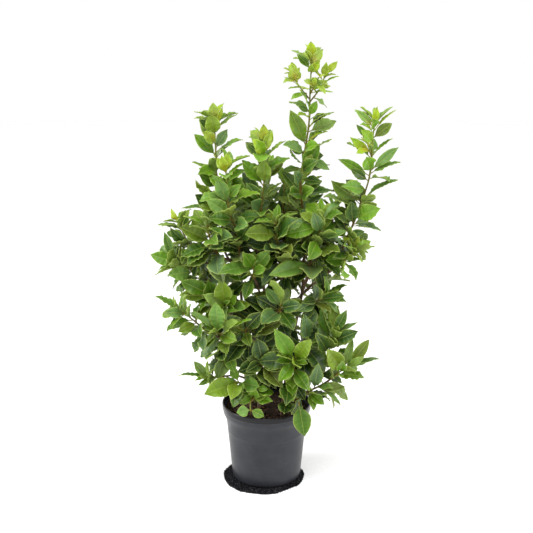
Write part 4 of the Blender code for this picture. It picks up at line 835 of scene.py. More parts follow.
def blade(leaf, margin=0.0, start=0.0):
    """A closed thin blade with the same triangles on both faces; margin thickens and widens it.

    Large leaves are folded along the midrib, and small ones are flat across.
    """
    stations = [start + (1 - start) * s for s in BLADE_STATIONS]
    folded = leaf.length > SMALL_LEAF
    places = (1, 0, -1) if folded else (1, -1)
    verts = []
    for lift in (margin, -BLADE_THICKNESS - margin):
        verts.append(leaf.point(start, 0.0, 0.0, lift))
        for u in stations:
            for v in places:
                verts.append(leaf.point(u, v * POLYGON_WIDTH, margin, lift))
    verts.append(leaf.point(1.0, 0.0, 0.0, -0.5 * BLADE_THICKNESS))
    sheet = len(verts) // 2
    tip = 2 * sheet
    if folded:
        root, l1, m1, r1, l2, m2, r2 = range(7)
        upper = [(root, m1, l1), (root, r1, m1), (m1, m2, l2), (m1, l2, l1),
                 (r1, r2, m2), (r1, m2, m1), (m2, tip, l2), (r2, tip, m2)]
    else:
        root, l1, r1, l2, r2 = range(5)
        upper = [(root, r1, l1), (r1, r2, l2), (r1, l2, l1), (r2, tip, l2)]
    faces = list(upper)
    for a, b, c in upper:
        faces.append(tuple(n if n == tip else n + sheet for n in (c, b, a)))
    rim = [root, r1, r2, tip, l2, l1]
    for a, b in zip(rim, rim[1:] + rim[:1]):
        if a == tip:
            faces.append((b, a, b + sheet))
        else:
            faces.append((b, a, a + sheet))
            if b != tip:
                faces.append((b, a + sheet, b + sheet))
    return verts, faces


class Space:
    """What has been placed so far, for finding out what a new leaf would cross."""

    def __init__(self):
        self.pieces = []

    def add(self, owner, verts, faces):
        centre = sum(verts, Vector()) / len(verts)
        reach = max((v - centre).length for v in verts)
        self.pieces.append((owner, BVHTree.FromPolygons(verts, faces), centre, reach))

    def crosses(self, verts, faces, skip=None, only=None):
        tree = None
        centre = sum(verts, Vector()) / len(verts)
        reach = max((v - centre).length for v in verts)
        for owner, other, middle, far in self.pieces:
            if owner == skip or (only is not None and owner != only):
                continue
            if (middle - centre).length > reach + far:
                continue
            if tree is None:
                tree = BVHTree.FromPolygons(verts, faces)
            if tree.overlap(other):
                return True
        return False

    def keep(self, owner, leaf):
        """Adds a leaf as it is, whole and without its root."""
        self.add(owner, *blade(leaf))
        self.add(owner + "_outer", *blade(leaf, 0.0, ROOT_SHARE))
        leaf.held = self.pieces[-2:]
        return leaf

    def first_free(self, owner, trials):
        """The first of some leaves that is clear of everything but its own shoot, or none."""
        free = [t for t in trials if not self.crosses(*blade(t, EXTRA_CLEARANCE), skip=owner)]
        return free[0] if free else None


def place_leaf(space, axis, heading, leaf, clearance=CLEARANCE):
    """Swings, tilts and shortens a leaf until it is clear of everything, or gives it up."""
    owner = axis.host.name
    for scale, swing, tilt in itertools.product(SCALES, SWINGS, TILTS):
        trial = leaf.turned(heading, math.radians(swing), math.radians(tilt), scale)
        if trial.point(1.0, 0.0).z < LOWEST_TIP:
            continue
        if space.crosses(*blade(trial, clearance), skip=owner):
            continue
        if space.crosses(*blade(trial, clearance, ROOT_SHARE), only=owner + "_outer"):
            continue
        return space.keep(owner, trial)
    return None


def leaf_to(root, tip, width, face, droop, age, rng):
    """A leaf from its root to a set tip, however it bends between them."""
    chord = tip - root
    along = chord.normalized()
    facing = (face - along * face.dot(along)).normalized()
    start = Matrix.Rotation(-droop / 2, 3, facing.cross(along)) @ along
    facing = Matrix.Rotation(-droop / 2, 3, facing.cross(along)) @ facing
    reach = chord.length * (droop / 2) / math.sin(droop / 2)
    return Leaf(root, start, facing, reach, width, droop, math.radians(rng.uniform(*FOLD)),
                rng.uniform(*WAVE), rng.uniform(0, CIRCLE), rng.uniform(*AIMED_TWIST), age)


def aimed_leaves(space, axis):
    """Leaves with a set tip: each springs from where its stem is a leaf's length from that tip."""
    rng = random.Random(axis.name + " aimed")
    for number, (x, y, z, length, width, face, age) in enumerate(axis.plan["aimed"]):
        tip = Vector(metres(x, y, z))
        place = axis.free_place(axis.root_place(tip, length / 1000))
        root, heading = axis.at(place)
        leaf = leaf_to(root, tip, width / 1000, face, rng.uniform(*AIMED_DROOP), age, rng)
        placed = place_leaf(space, axis, heading, leaf)
        if placed:
            placed.number = number
        axis.bear(placed, place)


def depth_trials(root, aim, droop, rng):
    """Leaves to one place in the photograph, at several depths."""
    across, down, depth, width, face, age = aim
    return [leaf_to(root, in_photo(across, down, depth / 1000 + shift), width / 1000, face, droop, age, rng)
            for shift in DEPTH_SHIFTS]


def seen_leaves(space, axis):
    """More leaves with a set tip, which the photograph shows in front of the others."""
    rng = random.Random(axis.name + " seen")
    owner = axis.host.name
    for across, down, depth, length, width, face, age in SEEN_LEAVES.get(axis.name, []):
        spring = axis.root_place(in_photo(across, down, depth / 1000), length / 1000)
        root, heading = axis.at(spring)
        trials = depth_trials(root, (across, down, depth, width, face, age), rng.uniform(*AIMED_DROOP), rng)
        free = space.first_free(owner, trials)
        if free:
            placed = space.keep(owner, free)
        else:
            placed = place_leaf(space, axis, heading, trials[0], EXTRA_CLEARANCE)
        if placed:
            placed.tone = rng.uniform(*PLAIN_TONES)
        axis.bear(placed, spring)


def turn_leaf(axis, leaf, rng):
    """The ways in which a leaf of the solids may be turned, the best one first."""
    aim = TURNED_LEAVES.get((axis.name, leaf.number))
    if aim:
        return depth_trials(leaf.root, aim, leaf.droop, rng)
    if leaf.number is not None:
        return []
    middle = leaf.point(0.5, 0.0)
    outward = Vector((ROLL_OUT * middle.x, middle.y - ROLL_FORWARD, 0.0)).normalized()
    outward += Vector((0, 0, ROLL_UP))
    return [replace(leaf, face=leaf.face + outward * roll) for roll in ROLLS]


def turn_outward(space, axis):
    """Rolls the leaves of the solids about their own length towards the light, as far as there is room."""
    rng = random.Random(axis.name + " turn")
    owner = axis.host.name
    leaves = axis.leaves
    axis.leaves = []
    for leaf in leaves:
        space.pieces = [p for p in space.pieces if p not in leaf.held]
        if (axis.name, leaf.number) not in HUNG_LEAVES:
            free = space.first_free(owner, turn_leaf(axis, leaf, rng))
            axis.bear(space.keep(owner, free or leaf))


def grow_twigs(space, axes):
    """The fine twigs from which the small hanging leaves in front spring."""
    for plan in FINE_TWIGS:
        through = [in_photo(across, down, depth / 1000) for across, down, depth in plan["through"]]
        axis = Axis(plan, axes[plan["parent"]], through)
        axes[axis.name] = axis
        space.add(axis.host.name, *axis.leafy_tube())


def spread(heading, turn, rise):
    """The directions along a leaf and out of its face, at a turn round its stem and a rise along it."""
    across = (GUIDE - heading * GUIDE.dot(heading)).normalized()
    out = Matrix.Rotation(turn, 3, heading) @ across
    return out * math.cos(rise) + heading * math.sin(rise), heading * math.cos(rise) - out * math.sin(rise)


def grown_leaf(root, directions, size, width, age, rng):
    """A leaf that the spiral or the filling grows, with its bend, fold, waves and twist drawn."""
    return Leaf(root, *directions, size, width, rng.uniform(*GROWN_DROOP),
                math.radians(rng.uniform(*FOLD)), rng.uniform(*WAVE), rng.uniform(0, CIRCLE),
                rng.uniform(*GROWN_TWIST), min(max(age, 0.0), 1.0))


def towards_light(root, facing, strength):
    """How far a leaf's face is drawn outwards and up, by where the leaf springs."""
    back, up = facing
    light = Vector((root.x * LEAN_OUT, root.y + back, 0.0)).normalized() + Vector((0, 0, up))
    return light * strength


def shrunk(share, most):
    """How much of a leaf's size is left towards the tip of its stem, where the leaves are smaller."""
    return 1.0 - most * max(share - SMALLER_FROM, 0) / SMALLER_OVER


def spiral_leaf(axis, rng, root, heading, turn, share):
    """A leaf of the spiral along a shoot: larger and flatter low down, small and upright at the tip."""
    age = axis.plan["age"]
    rise = math.radians(SPIRAL_RISE + SPIRAL_RISE_MORE * share + rng.uniform(*SPIRAL_STRAY)
                        - OLD_LEAF_SINKS * (1 - age))
    along, face = spread(heading, turn, rise)
    face = face + towards_light(root, SPIRAL_FACING, rng.uniform(*SPIRAL_LIGHT))
    size = axis.plan["length"] * rng.uniform(*SPIRAL_SIZE) * shrunk(share, SPIRAL_SMALLER)
    width = size * rng.uniform(*SLENDER)
    return grown_leaf(root, (along, face), size, width, age + SPIRAL_YOUNGER * (share - SPIRAL_MIDDLE), rng)


def grown_leaves(space, axis):
    """The leaves of the solids' spiral."""
    rng = random.Random(axis.name + " grown")
    count = axis.plan["leaves"]
    turn = rng.uniform(0, CIRCLE)
    for i in range(count):
        share = (i + 0.5) / count
        place = axis.free_place(axis.first + (axis.last - axis.first) * share ** SPIRAL_CROWDS)
        root, heading = axis.at(place)
        turn += LEAF_TURN + rng.uniform(*SPIRAL_DRIFT)
        leaf = spiral_leaf(axis, rng, root, heading, turn, share)
        axis.bear(place_leaf(space, axis, heading, leaf), place)


def filling_leaf(axis, rng, root, heading, turn, share):
    """A broad leaf that stands up along its stem, to fill the space between the solids' leaves."""
    upper = smooth_step(*THIN_HEIGHTS, root.z)
    rise = math.radians(EXTRA_RISE + EXTRA_RISE_MORE * share + UPPER_RISE * upper
                        + rng.uniform(*EXTRA_STRAY))
    along, face = spread(heading, turn, rise)
    face = face + towards_light(root, EXTRA_FACING, rng.uniform(*EXTRA_LIGHT))
    size = axis.plan["length"] * rng.uniform(*EXTRA_SIZE) * shrunk(share, EXTRA_SMALLER)
    width = size * (1 - SLIMMER * upper) * rng.uniform(*BROAD)
    # Painted shade: leaves inside the bush start older, a deeper green
    age = axis.plan["age"] + EXTRA_YOUNGER * (share - EXTRA_MIDDLE) - INNER_PAINTED_SHADE * inside(root)
    return grown_leaf(root, (along, face), size, width, age, rng)


def extra_leaves(space, axis):
    """More leaves of the same kind between the ones that the solids have."""
    rng = random.Random(axis.name + " extra")
    leafy = axis.total - axis.leafy
    back = axis.at(axis.total)[0].y > BACK_FROM
    count = 0 if axis.twig else int(leafy / (BACK_SPACING if back else EXTRA_SPACING))
    turn = rng.uniform(0, CIRCLE)
    for i in range(count):
        share = (i + rng.uniform(*EXTRA_JITTER)) / count
        place = axis.leafy + EXTRA_ENDS + (leafy - 2 * EXTRA_ENDS) * share
        root, heading = axis.at(place)
        turn += LEAF_TURN + rng.uniform(*TURN_DRIFT)
        leaf = filling_leaf(axis, rng, root, heading, turn, share)
        if rng.random() >= THINNED * smooth_step(*THIN_HEIGHTS, root.z):
            axis.bear(place_leaf(space, axis, heading, leaf, EXTRA_CLEARANCE), place)


def tip_leaves(space, axis):
    """The tuft of small upright leaves that opens round the bud at the end of a shoot."""
    rng = random.Random(axis.name + " tip")
    age = axis.plan["age"]
    full = TWIG_TIP_LEAVES if axis.twig else TIP_LEAVES
    tuft = TWIG_TUFT_LENGTH if axis.twig else max(axis.plan["length"], TUFT_LENGTH)
    turn = rng.uniform(0, CIRCLE)
    for i in range(full if age > TUFT_FROM_AGE and axis.name not in TUFTLESS else 0):
        root, heading = axis.at(axis.total - TUFT_BELOW - TIP_SPACING * i)
        turn += LEAF_TURN + rng.uniform(*TURN_DRIFT)
        directions = spread(heading, turn, math.radians(rng.uniform(*TUFT_RISE) - TUFT_OPENS * i))
        size = tuft * (TUFT_INMOST + TUFT_GROWS * i) * rng.uniform(*TUFT_SIZE)
        leaf = Leaf(root, *directions, size, size * rng.uniform(*TUFT_WIDTH), rng.uniform(*TUFT_DROOP),
                    math.radians(rng.uniform(*TUFT_FOLD)), TUFT_WAVE, rng.uniform(0, CIRCLE),
                    rng.uniform(*TUFT_TWIST), min(TUFT_AGE + TUFT_AGE_MORE * age, 1.0) - TUFT_OLDER * i)
        axis.bear(place_leaf(space, axis, heading, leaf, EXTRA_CLEARANCE))


def grow_plant(obstacles):
    """All axes with their leaves, each leaf clear of the others and of the pot and compost."""
    axes = {}
    for plan in PLAN:
        through = [Vector(metres(*point)) for point in plan["through"]]
        axes[plan["name"]] = Axis(plan, axes.get(plan["parent"]), through)
    space = Space()
    for name, verts, faces in obstacles:
        space.add(name, verts, faces)
    for axis in axes.values():
        if not axis.twig:
            space.add(axis.wood + " wood", *axis.wood_tube())
        space.add(axis.host.name, *axis.leafy_tube())
    for grow in (aimed_leaves, grown_leaves, turn_outward):
        for axis in axes.values():
            grow(space, axis)
    grow_twigs(space, axes)
    for grow in (seen_leaves, tip_leaves, extra_leaves):
        for axis in axes.values():
            grow(space, axis)
    return axes


# The solids of the pot and the compost, as obstacles and as a base for the looks

def turned(profile, segments):
    """A closed solid of revolution; the profile runs from the axis round to the axis again."""
    verts = []
    rings = []
    for radius, height in profile:
        if radius == 0:
            rings.append([len(verts)])
            verts.append(Vector((0, 0, height)))
            continue
        rings.append(list(range(len(verts), len(verts) + segments)))
        verts += circle(radius, height, segments)
    faces = []
    for low, high in zip(rings, rings[1:]):
        for k in range(segments):
            m = (k + 1) % segments
            if len(low) == 1:
                faces.append((low[0], high[m], high[k]))
            elif len(high) == 1:
                faces.append((low[k], low[m], high[0]))
            else:
                faces.append((low[k], low[m], high[m], high[k]))
    return verts, faces


def circle(radius, height, sides):
    """Points round the pot's axis."""
    angles = [CIRCLE * k / sides for k in range(sides)]
    return [Vector((radius * math.cos(a), radius * math.sin(a), height)) for a in angles]


def pot_levels():
    """The heights of the pot's foot, of its shoulder and of the lower edge of its rim band."""
    band = POT_TOP - POT_BAND_HEIGHT
    return MAT_THICKNESS + GAP, band - POT_SHOULDER_HEIGHT, band


def pot_outside():
    """The outer profile of the solid pot, from its foot up to the rim."""
    foot, shoulder, band = pot_levels()
    return [(0.0, foot), (POT_FOOT_RADIUS - 0.006, foot), (POT_FOOT_RADIUS - 0.0017, foot + 0.0020),
            (POT_FOOT_RADIUS, foot + FOOT_HEIGHT), (POT_BODY_TOP_RADIUS, shoulder),
            (0.0870, shoulder + 0.019), (0.0920, shoulder + 0.031), (0.0947, band),
            (POT_RIM_RADIUS, POT_TOP - 0.0015), (POT_RIM_RADIUS - 0.0009, POT_TOP)]


def pot_inside():
    """The inner profile of the solid pot, from the rim down to the floor."""
    outside = pot_outside()
    inner = [(POT_RIM_RADIUS - 0.0030, POT_TOP), (POT_RIM_RADIUS - 0.0038, POT_TOP - 0.0015)]
    for radius, height in (outside[7], outside[5], outside[4], outside[3]):
        inner.append((radius - POT_WALL, height + 0.0005))
    inner.append((POT_FOOT_RADIUS - 0.009, outside[0][1] + POT_WALL))
    inner.append((0.0, outside[0][1] + POT_WALL))
    return inner


def soil_height(x, y):
    """The compost's uneven top, a little higher round the stems."""
    lumps = 0.0016 * math.sin(95 * x + 1.0) * math.cos(80 * y) + 0.0010 * math.sin(190 * y + 140 * x)
    return SOIL_TOP + lumps + 0.0025 * math.exp(-(x * x + y * y) / 0.0018)


def wall_radius(height):
    """The inner radius of the pot at a height."""
    inside = sorted((z, r) for r, z in pot_inside() if r > 0)
    for (low, narrow), (high, wide) in zip(inside, inside[1:]):
        if low <= height <= high:
            return narrow + (wide - narrow) * (height - low) / (high - low)
    return inside[-1][1]


def soil_shape():
    """The solid compost, which fills the pot but for a small gap."""
    floor = pot_inside()[-1][1] + GAP
    edge = SOIL_TOP - SOIL_EDGE
    levels = sorted(z for r, z in pot_inside() if floor + GAP < z < edge) + [edge]
    profile = [(0.0, floor), (POT_FOOT_RADIUS - 0.0095, floor)]
    profile += [(wall_radius(z) - SOIL_GAP, z) for z in levels]
    rim = profile[-1][0]
    profile += [(rim * SOIL_MIDDLE, SOIL_TOP), (0.0, SOIL_TOP)]
    verts, faces = turned(profile, SOIL_SEGMENTS)
    for v in verts:
        if v.z >= SOIL_TOP - 0.0002:
            v.z = soil_height(v.x, v.y)
    return verts, faces


# Fine leaves

def smooth_step(low, high, value):
    share = np.clip((value - low) / (high - low), 0.0, 1.0)
    return share * share * (3 - 2 * share)


def inside(spot):
    """How far inside the low, shaded heart of the bush a spot is: 1 on the pot's axis, 0 outside."""
    return max(1 - math.hypot(spot.x, spot.y) / INNER_REACH, 0.0) * (1 - smooth_step(*INNER_TOP, spot.z))


def leaf_outline(leaf, u, roundness):
    """Half of the width along a fine leaf: a narrow stalk, a wedge-shaped base and a pointed tip."""
    t = np.clip((u - STALK_SHARE) / (1 - STALK_SHARE), 0.0, 1.0)
    arch = np.clip(np.sin(math.pi * t), 0.0, 1.0)
    outline = 0.5 * leaf.width * FULLNESS * arch ** (roundness + 0.35 * (1 - t) ** 2) * (1 - 0.3 * t ** 8)
    return np.maximum(outline, STALK_HALF * (1 - t) + TIP_HALF * t)


def leaf_frames(leaf, u):
    """Leaf.frame for many stations at once."""
    along0 = np.array(leaf.along)
    face0 = np.array(leaf.face)
    bend = leaf.droop * u[:, None]
    reach = leaf.length * np.sin(bend) / leaf.droop
    fall = leaf.length * (1 - np.cos(bend)) / leaf.droop
    middle = np.array(leaf.root) + along0 * reach - face0 * fall
    along = along0 * np.cos(bend) - face0 * np.sin(bend)
    face = along0 * np.sin(bend) + face0 * np.cos(bend)
    side = np.cross(face, along)
    turn = leaf.twist * u[:, None]
    return middle, side * np.cos(turn) + face * np.sin(turn), face * np.cos(turn) - side * np.sin(turn)


def leaf_relief(leaf, u, v, half, on_blade, rng):
    """How far a fine leaf's surface rises over its flat blade: its fold, its waves and its crisped edge."""
    phase = leaf.phase + np.where(v > 0, OTHER_SIDE, 0.0)
    waves = np.sin(2 * math.pi * WAVES * u + phase) * v * v * leaf.wave * leaf.width
    swell = rng.uniform(*SWELL) * leaf.width
    waves += swell * np.sin(2 * math.pi * SWELLS * u + 1.7 * phase + 2 * v) * np.abs(v)
    crisps = leaf.length / rng.uniform(*CRISP_PITCH)
    crisp = np.sin(2 * math.pi * crisps * u + phase * 2.3) * np.abs(v) ** 3
    crisp *= leaf.width * rng.uniform(*CRISP) * on_blade * (1 - u ** 6)
    crisp *= smooth_step(*CRISP_FROM, leaf.length)
    return np.abs(v) ** 1.3 * half * math.sin(leaf.fold) * on_blade + waves * on_blade + crisp


def sheet_faces(rows, count):
    """The faces of two sheets of points, upper and lower, that are joined round their rim."""
    index = np.arange((rows + 1) * count).reshape(rows + 1, count)
    a, b = index[:-1, :-1].ravel(), index[:-1, 1:].ravel()
    c, d = index[1:, 1:].ravel(), index[1:, :-1].ravel()
    sheet = (rows + 1) * count
    ring = np.concatenate([index[0, :], index[1:, -1], index[-1, -2::-1], index[-2:0:-1, 0]])
    after = np.roll(ring, -1)
    return np.vstack([np.stack([a, d, c, b], axis=1), np.stack([a, b, c, d], axis=1) + sheet,
                      np.stack([ring, after, after + sheet, ring + sheet], axis=1)])


def age_with_painted_shade(leaf):
    """A leaf's age in its colour: younger high up in the light; leaves inside the bush and young leaves low
    down are shown older, a deeper green, as painted shade.
    """
    age = leaf.age + TENDER_TOP * smooth_step(*TENDER_HEIGHTS, leaf.root.z)
    # Painted shade: leaves inside the bush, and young leaves low down, are shown older and so a deeper green
    age -= INNER_PAINTED_SHADE * inside(leaf.root)
    shaded = 1 - smooth_step(*SHADED_HEIGHTS, leaf.root.z)
    return age - SHADED_AGE * shaded * smooth_step(*SHADED_KINDS, leaf.age)


def fine_leaf(leaf, rng):
    """A closed leaf with stalk, midrib, side veins and a waved, crisped edge, and what its colour needs."""
    large = leaf.length > FINE_FROM
    rows = LARGE_ROWS if large else SMALL_ROWS
    across = np.array(LARGE_ACROSS if large else SMALL_ACROSS)
    count = len(across)
    base = np.linspace(0.0, 1.0, rows + 1)
    slant = VEIN_SLANT * np.sin(math.pi * base)
    u = np.clip(base[:, None] + slant[:, None] * (np.abs(across)[None, :] ** 1.2), 0.0, 1.0).ravel()
    v = np.tile(across, rows + 1)
    middle, side, face = leaf_frames(leaf, u)
    half = leaf_outline(leaf, u, rng.uniform(*ROUNDNESS))
    on_blade = smooth_step(STALK_SHARE, STALK_SHARE + BLADE_BEGINS, u)
    rise = leaf_relief(leaf, u, v, half, on_blade, rng)
    vein = np.tile((np.arange(rows + 1) % VEIN_ROWS > 0)[:, None], (1, count)).ravel().astype(float)
    quilt = QUILT * (vein - 0.5) * on_blade * np.sin(math.pi * np.abs(v)) * (leaf.length / QUILT_LENGTH)
    across_mm = v * half * 1000
    groove = GROOVE * np.exp(-(across_mm / GROOVE_WIDTH_MM) ** 2) * on_blade
    thick = LEAF_THICKNESS + (STALK_THICKNESS - LEAF_THICKNESS) * (1 - on_blade)
    width_fold = v * half * (1 - on_blade * (1 - math.cos(leaf.fold)))
    ground = middle + side * width_fold[:, None]
    upper = ground + face * (rise + quilt - groove)[:, None]
    lower = ground + face * (rise + quilt - thick - groove * RIB_DEPTH)[:, None]
    sheet = (rows + 1) * count
    shade = np.stack([np.full(2 * sheet, age_with_painted_shade(leaf)), np.full(2 * sheet, leaf.tone or rng.random()),
                      np.concatenate([np.ones(sheet), np.zeros(sheet)]), np.tile(vein, 2)], axis=1)
    place = np.stack([np.tile(u, 2), np.tile(across_mm, 2), np.tile(v, 2)], axis=1)
    return np.vstack([upper, lower]), sheet_faces(rows, count), shade, place


class Sheaf:
    """Gathers shapes with what their colours need and makes one mesh of them.

    The shade of a point holds its age, with painted shade in it for leaves, its tone, whether it is on top,
    and whether it is off a vein.
    Its place is how far along its leaf it is, and how far across in millimetres and in half widths.
    """

    plain_shade = (0.2, 0.5, 1.0, 1.0)
    plain_place = (0.5, 0.0, 0.0)

    def __init__(self):
        self.verts = []
        self.faces = []
        self.slots = []
        self.shades = []
        self.places = []
        self.total = 0

    def add(self, verts, faces, slot, shade=plain_shade, place=plain_place):
        count = len(verts)
        self.verts.append(np.asarray(verts, float))
        self.faces.extend((np.asarray(face) + self.total).tolist() for face in faces)
        self.slots.extend([slot] * len(faces))
        self.shades.append(np.broadcast_to(np.asarray(shade, float), (count, 4)))
        self.places.append(np.broadcast_to(np.asarray(place, float), (count, 3)))
        self.total += count

    def make(self, name, materials):
        piece = make_object(name, np.vstack(self.verts).tolist(), self.faces, materials, self.slots)
        mesh = piece.data
        shade = mesh.attributes.new("shade", "FLOAT_COLOR", "POINT")
        shade.data.foreach_set("color", np.vstack(self.shades).astype(np.float32).ravel())
        place = mesh.attributes.new("place", "FLOAT_VECTOR", "POINT")
        place.data.foreach_set("vector", np.vstack(self.places).astype(np.float32).ravel())
        mesh.validate()
        mesh.update()
        return piece


def make_object(name, verts, faces, materials, slots=None):
    """A smooth piece from its points and faces, with one material or one for each slot."""
    mesh = bpy.data.meshes.new(name)
    mesh.from_pydata([tuple(v) for v in verts], [], faces)
    for material in materials:
        mesh.materials.append(material)
    if slots:
        mesh.polygons.foreach_set("material_index", slots)
    mesh.polygons.foreach_set("use_smooth", [True] * len(faces))
    if not slots:
        mesh.validate()
    piece = bpy.data.objects.new(name, mesh)
    bpy.context.scene.collection.objects.link(piece)
    return piece


# Colours and shader nodes

def colour(code):
    """An sRGB hex colour as linear values."""
    parts = [int(code[i:i + 2], 16) / 255 for i in (1, 3, 5)]
    return [c / 12.92 if c <= 0.04045 else ((c + 0.055) / 1.055) ** 2.4 for c in parts] + [1.0]


def add_node(tree, kind, values, stops=()):
    """A shader node with its settings and links, and the stops of its ramp.

    A node or a socket among the values is linked to the socket of that name, and a hex colour is made
    linear. Anything else is a setting of the node or of its socket.
    """
    node = tree.nodes.new("ShaderNode" + kind)
    for key, value in values.items():
        named = [s for s in node.inputs if s.enabled and s.name == key]
        if isinstance(value, bpy.types.Node):
            value = [s for s in value.outputs if s.enabled][0]
        if isinstance(value, str) and value.startswith("#"):
            value = colour(value)
        if isinstance(value, bpy.types.NodeSocket):
            tree.links.new(value, named[0] if named else node.inputs[key])
        elif hasattr(node, str(key)):
            setattr(node, key, value)
        else:
            (named[0] if named else node.inputs[key]).default_value = value
    for i, (place, code) in enumerate(stops):
        spot = node.color_ramp.elements[i] if i < 2 else node.color_ramp.elements.new(place)
        spot.position = place
        spot.color = colour(code)
    return node


def lay_over(tree, surface, paint, pattern, low, high, most=1.0):
    """A colour or another surface laid over this one, from none where a pattern is low to the most."""
    share = add_node(tree, "MapRange", {"Value": pattern, "From Min": low, "From Max": high, "To Max": most})
    return add_node(tree, "Mix", {"data_type": "RGBA", "Factor": share, "A": surface, "B": paint})


def new_material(name, settings):
    """A material with its shader and output, its tree, and a place in the object's own coordinates."""
    material = bpy.data.materials.new(name)
    material.use_nodes = True
    tree = material.node_tree
    tree.nodes.clear()
    shader = add_node(tree, "BsdfPrincipled", settings)
    add_node(tree, "OutputMaterial", {"Surface": shader})
    return material, tree, add_node(tree, "TexCoord", {}).outputs["Object"]


def finish_material(material, base, roughness, height, depth):
    """Joins a material's colour, roughness and relief to its shader; depth is in metres."""
    tree = material.node_tree
    shader = tree.nodes["Principled BSDF"]
    tree.links.new([s for s in base.outputs if s.enabled][0], shader.inputs["Base Color"])
    if roughness:
        tree.links.new(roughness.outputs[0], shader.inputs["Roughness"])
    relief = add_node(tree, "Bump", {"Distance": depth, "Height": height})
    tree.links.new(relief.outputs[0], shader.inputs["Normal"])
    return material


def make_leaf_blade():
    """Bay leaf, a leathery blade under a thin natural wax.

    The wax gives soft, broad highlights on the upper face, and the underside is paler and dull. Some leaves
    carry a grey-green painted sheen in their colour.
    Colour runs from yellow-green in young leaves to deep green in old ones, with a pale midrib, faint
    side veins and a thin yellowish edge. The midrib is about 0.7 mm wide and the side veins 0.2 mm,
    both drawn two or three times as wide so that they show.
    """
    material, tree, where = new_material("leaf_blade_waxed", {"IOR": 1.42, "Specular IOR Level": 0.25,
                                                              "Coat Weight": 0.14, "Coat Roughness": 0.22})
    shade = add_node(tree, "Attribute", {"attribute_name": "shade"}).outputs
    kind = add_node(tree, "SeparateColor", {"Color": shade["Color"]}).outputs
    place = add_node(tree, "Attribute", {"attribute_name": "place"})
    spot = add_node(tree, "SeparateXYZ", {"Vector": place.outputs["Vector"]}).outputs
    patches = add_node(tree, "TexNoise", {"Vector": where, "Scale": 1 / LEAF_PATCH, "Detail": 2.0})
    mottle = add_node(tree, "TexNoise", {"Vector": where, "Scale": 1 / LEAF_MOTTLE, "Detail": 3.0})
    grain = add_node(tree, "TexNoise", {"Vector": where, "Scale": 1 / LEAF_GRAIN, "Detail": 1.0})
    shift = add_node(tree, "MapRange", {"Value": patches, "To Min": -0.20, "To Max": 0.20})
    # The age from the shade attribute holds the painted shade of leaves inside and low in the bush
    age = add_node(tree, "Math", {"operation": "ADD", 0: kind["Red"], 1: shift})
    blade = add_node(tree, "ValToRGB", {"Fac": age}, LEAF_GREENS)
    # A second random pick from the tone chooses the leaves with painted sheen
    other = add_node(tree, "Math", {"operation": "MULTIPLY", 0: kind["Green"], 1: 7.3})
    sheen_pick = add_node(tree, "Math", {"operation": "FRACT", 0: other})
    off_middle = add_node(tree, "Math", {"operation": "ABSOLUTE", 0: spot["Y"]})
    off_centre = add_node(tree, "Math", {"operation": "ABSOLUTE", 0: spot["Z"]})
    ribs = add_node(tree, "ValToRGB", {"Fac": spot["X"]}, RIB_COLOURS)
    stalks = add_node(tree, "ValToRGB", {"Fac": kind["Green"]}, STALK_COLOURS)
    # The blush of tender leaves, in patches and near the base
    blush = add_node(tree, "MapRange", {"Value": age, "From Min": 0.86, "From Max": 1.0})
    for pattern, low, high, most in ((patches, 0.42, 0.62, 1.0), (spot["X"], 0.75, 0.25, 0.45)):
        share = add_node(tree, "MapRange", {"Value": pattern, "From Min": low, "From Max": high,
                                            "To Max": most})
        blush = add_node(tree, "Math", {"operation": "MULTIPLY", 0: blush, 1: share})
    # Olive, bluish, painted-sheen and specked leaves, the net of veins, blush, midrib, outer blade and edge
    for paint, pattern, low, high, most in (
            ("#8c8f35", kind["Green"], 0.60, 1.0, 0.38), ("#274a26", kind["Green"], 0.35, 0.0, 0.40),
            # The grey-green #80a070 laid on some leaves is painted sheen
            ("#80a070", sheen_pick, 0.60, 1.0, 0.36), ("#21360f", mottle, 0.45, 0.8, 0.32),
            ("#8fa548", shade["Alpha"], 0.3, 0.0, 0.14), ("#a8781f", blush, 0.0, 1.0, 1.0),
            (ribs, off_middle, *reversed(MIDRIB_MM), 0.48), ("#8cae3a", off_centre, 0.35, 0.95, 0.22),
            ("#b2bc62", off_centre, 0.90, 1.0, 0.72)):
        blade = lay_over(tree, blade, paint, pattern, low, high, most)
    under = add_node(tree, "Mix", {"data_type": "RGBA", "Factor": 0.5, "A": blade, "B": "#8b9c48"})
    faces = add_node(tree, "Mix", {"data_type": "RGBA", "Factor": kind["Blue"], "A": under, "B": blade})
    whole = lay_over(tree, faces, stalks, spot["X"], 0.12, 0.03, 0.9)
    gloss = add_node(tree, "MapRange", {"Value": kind["Blue"], "To Min": 0.65, "To Max": 0.42})
    worn = add_node(tree, "MapRange", {"Value": mottle, "To Min": -0.06, "To Max": 0.10})
    rough = add_node(tree, "Math", {"operation": "ADD", 0: gloss, 1: worn})
    relief = add_node(tree, "Math", {"operation": "MULTIPLY_ADD", 0: mottle, 1: 3.5, 2: grain})
    return finish_material(material, whole, rough, relief, 0.0001)


def make_stem_skin():
    """Young bay wood, grown smooth: green by the tip and red-brown further down, with a slight sheen."""
    material, tree, where = new_material("stem_skin_smooth", {"IOR": 1.45, "Roughness": 0.5,
                                                              "Specular IOR Level": 0.25})
    shade = add_node(tree, "Attribute", {"attribute_name": "shade"})
    kind = add_node(tree, "SeparateColor", {"Color": shade.outputs["Color"]}).outputs
    patches = add_node(tree, "TexNoise", {"Vector": where, "Scale": 1 / STEM_PATCH, "Detail": 3.0})
    shift = add_node(tree, "MapRange", {"Value": patches, "To Min": -0.25, "To Max": 0.25})
    ripe = add_node(tree, "Math", {"operation": "ADD", 0: kind["Red"], 1: shift})
    skin = add_node(tree, "ValToRGB", {"Fac": ripe}, STEM_SKINS)
    return finish_material(material, skin, None, patches, 0.0003)


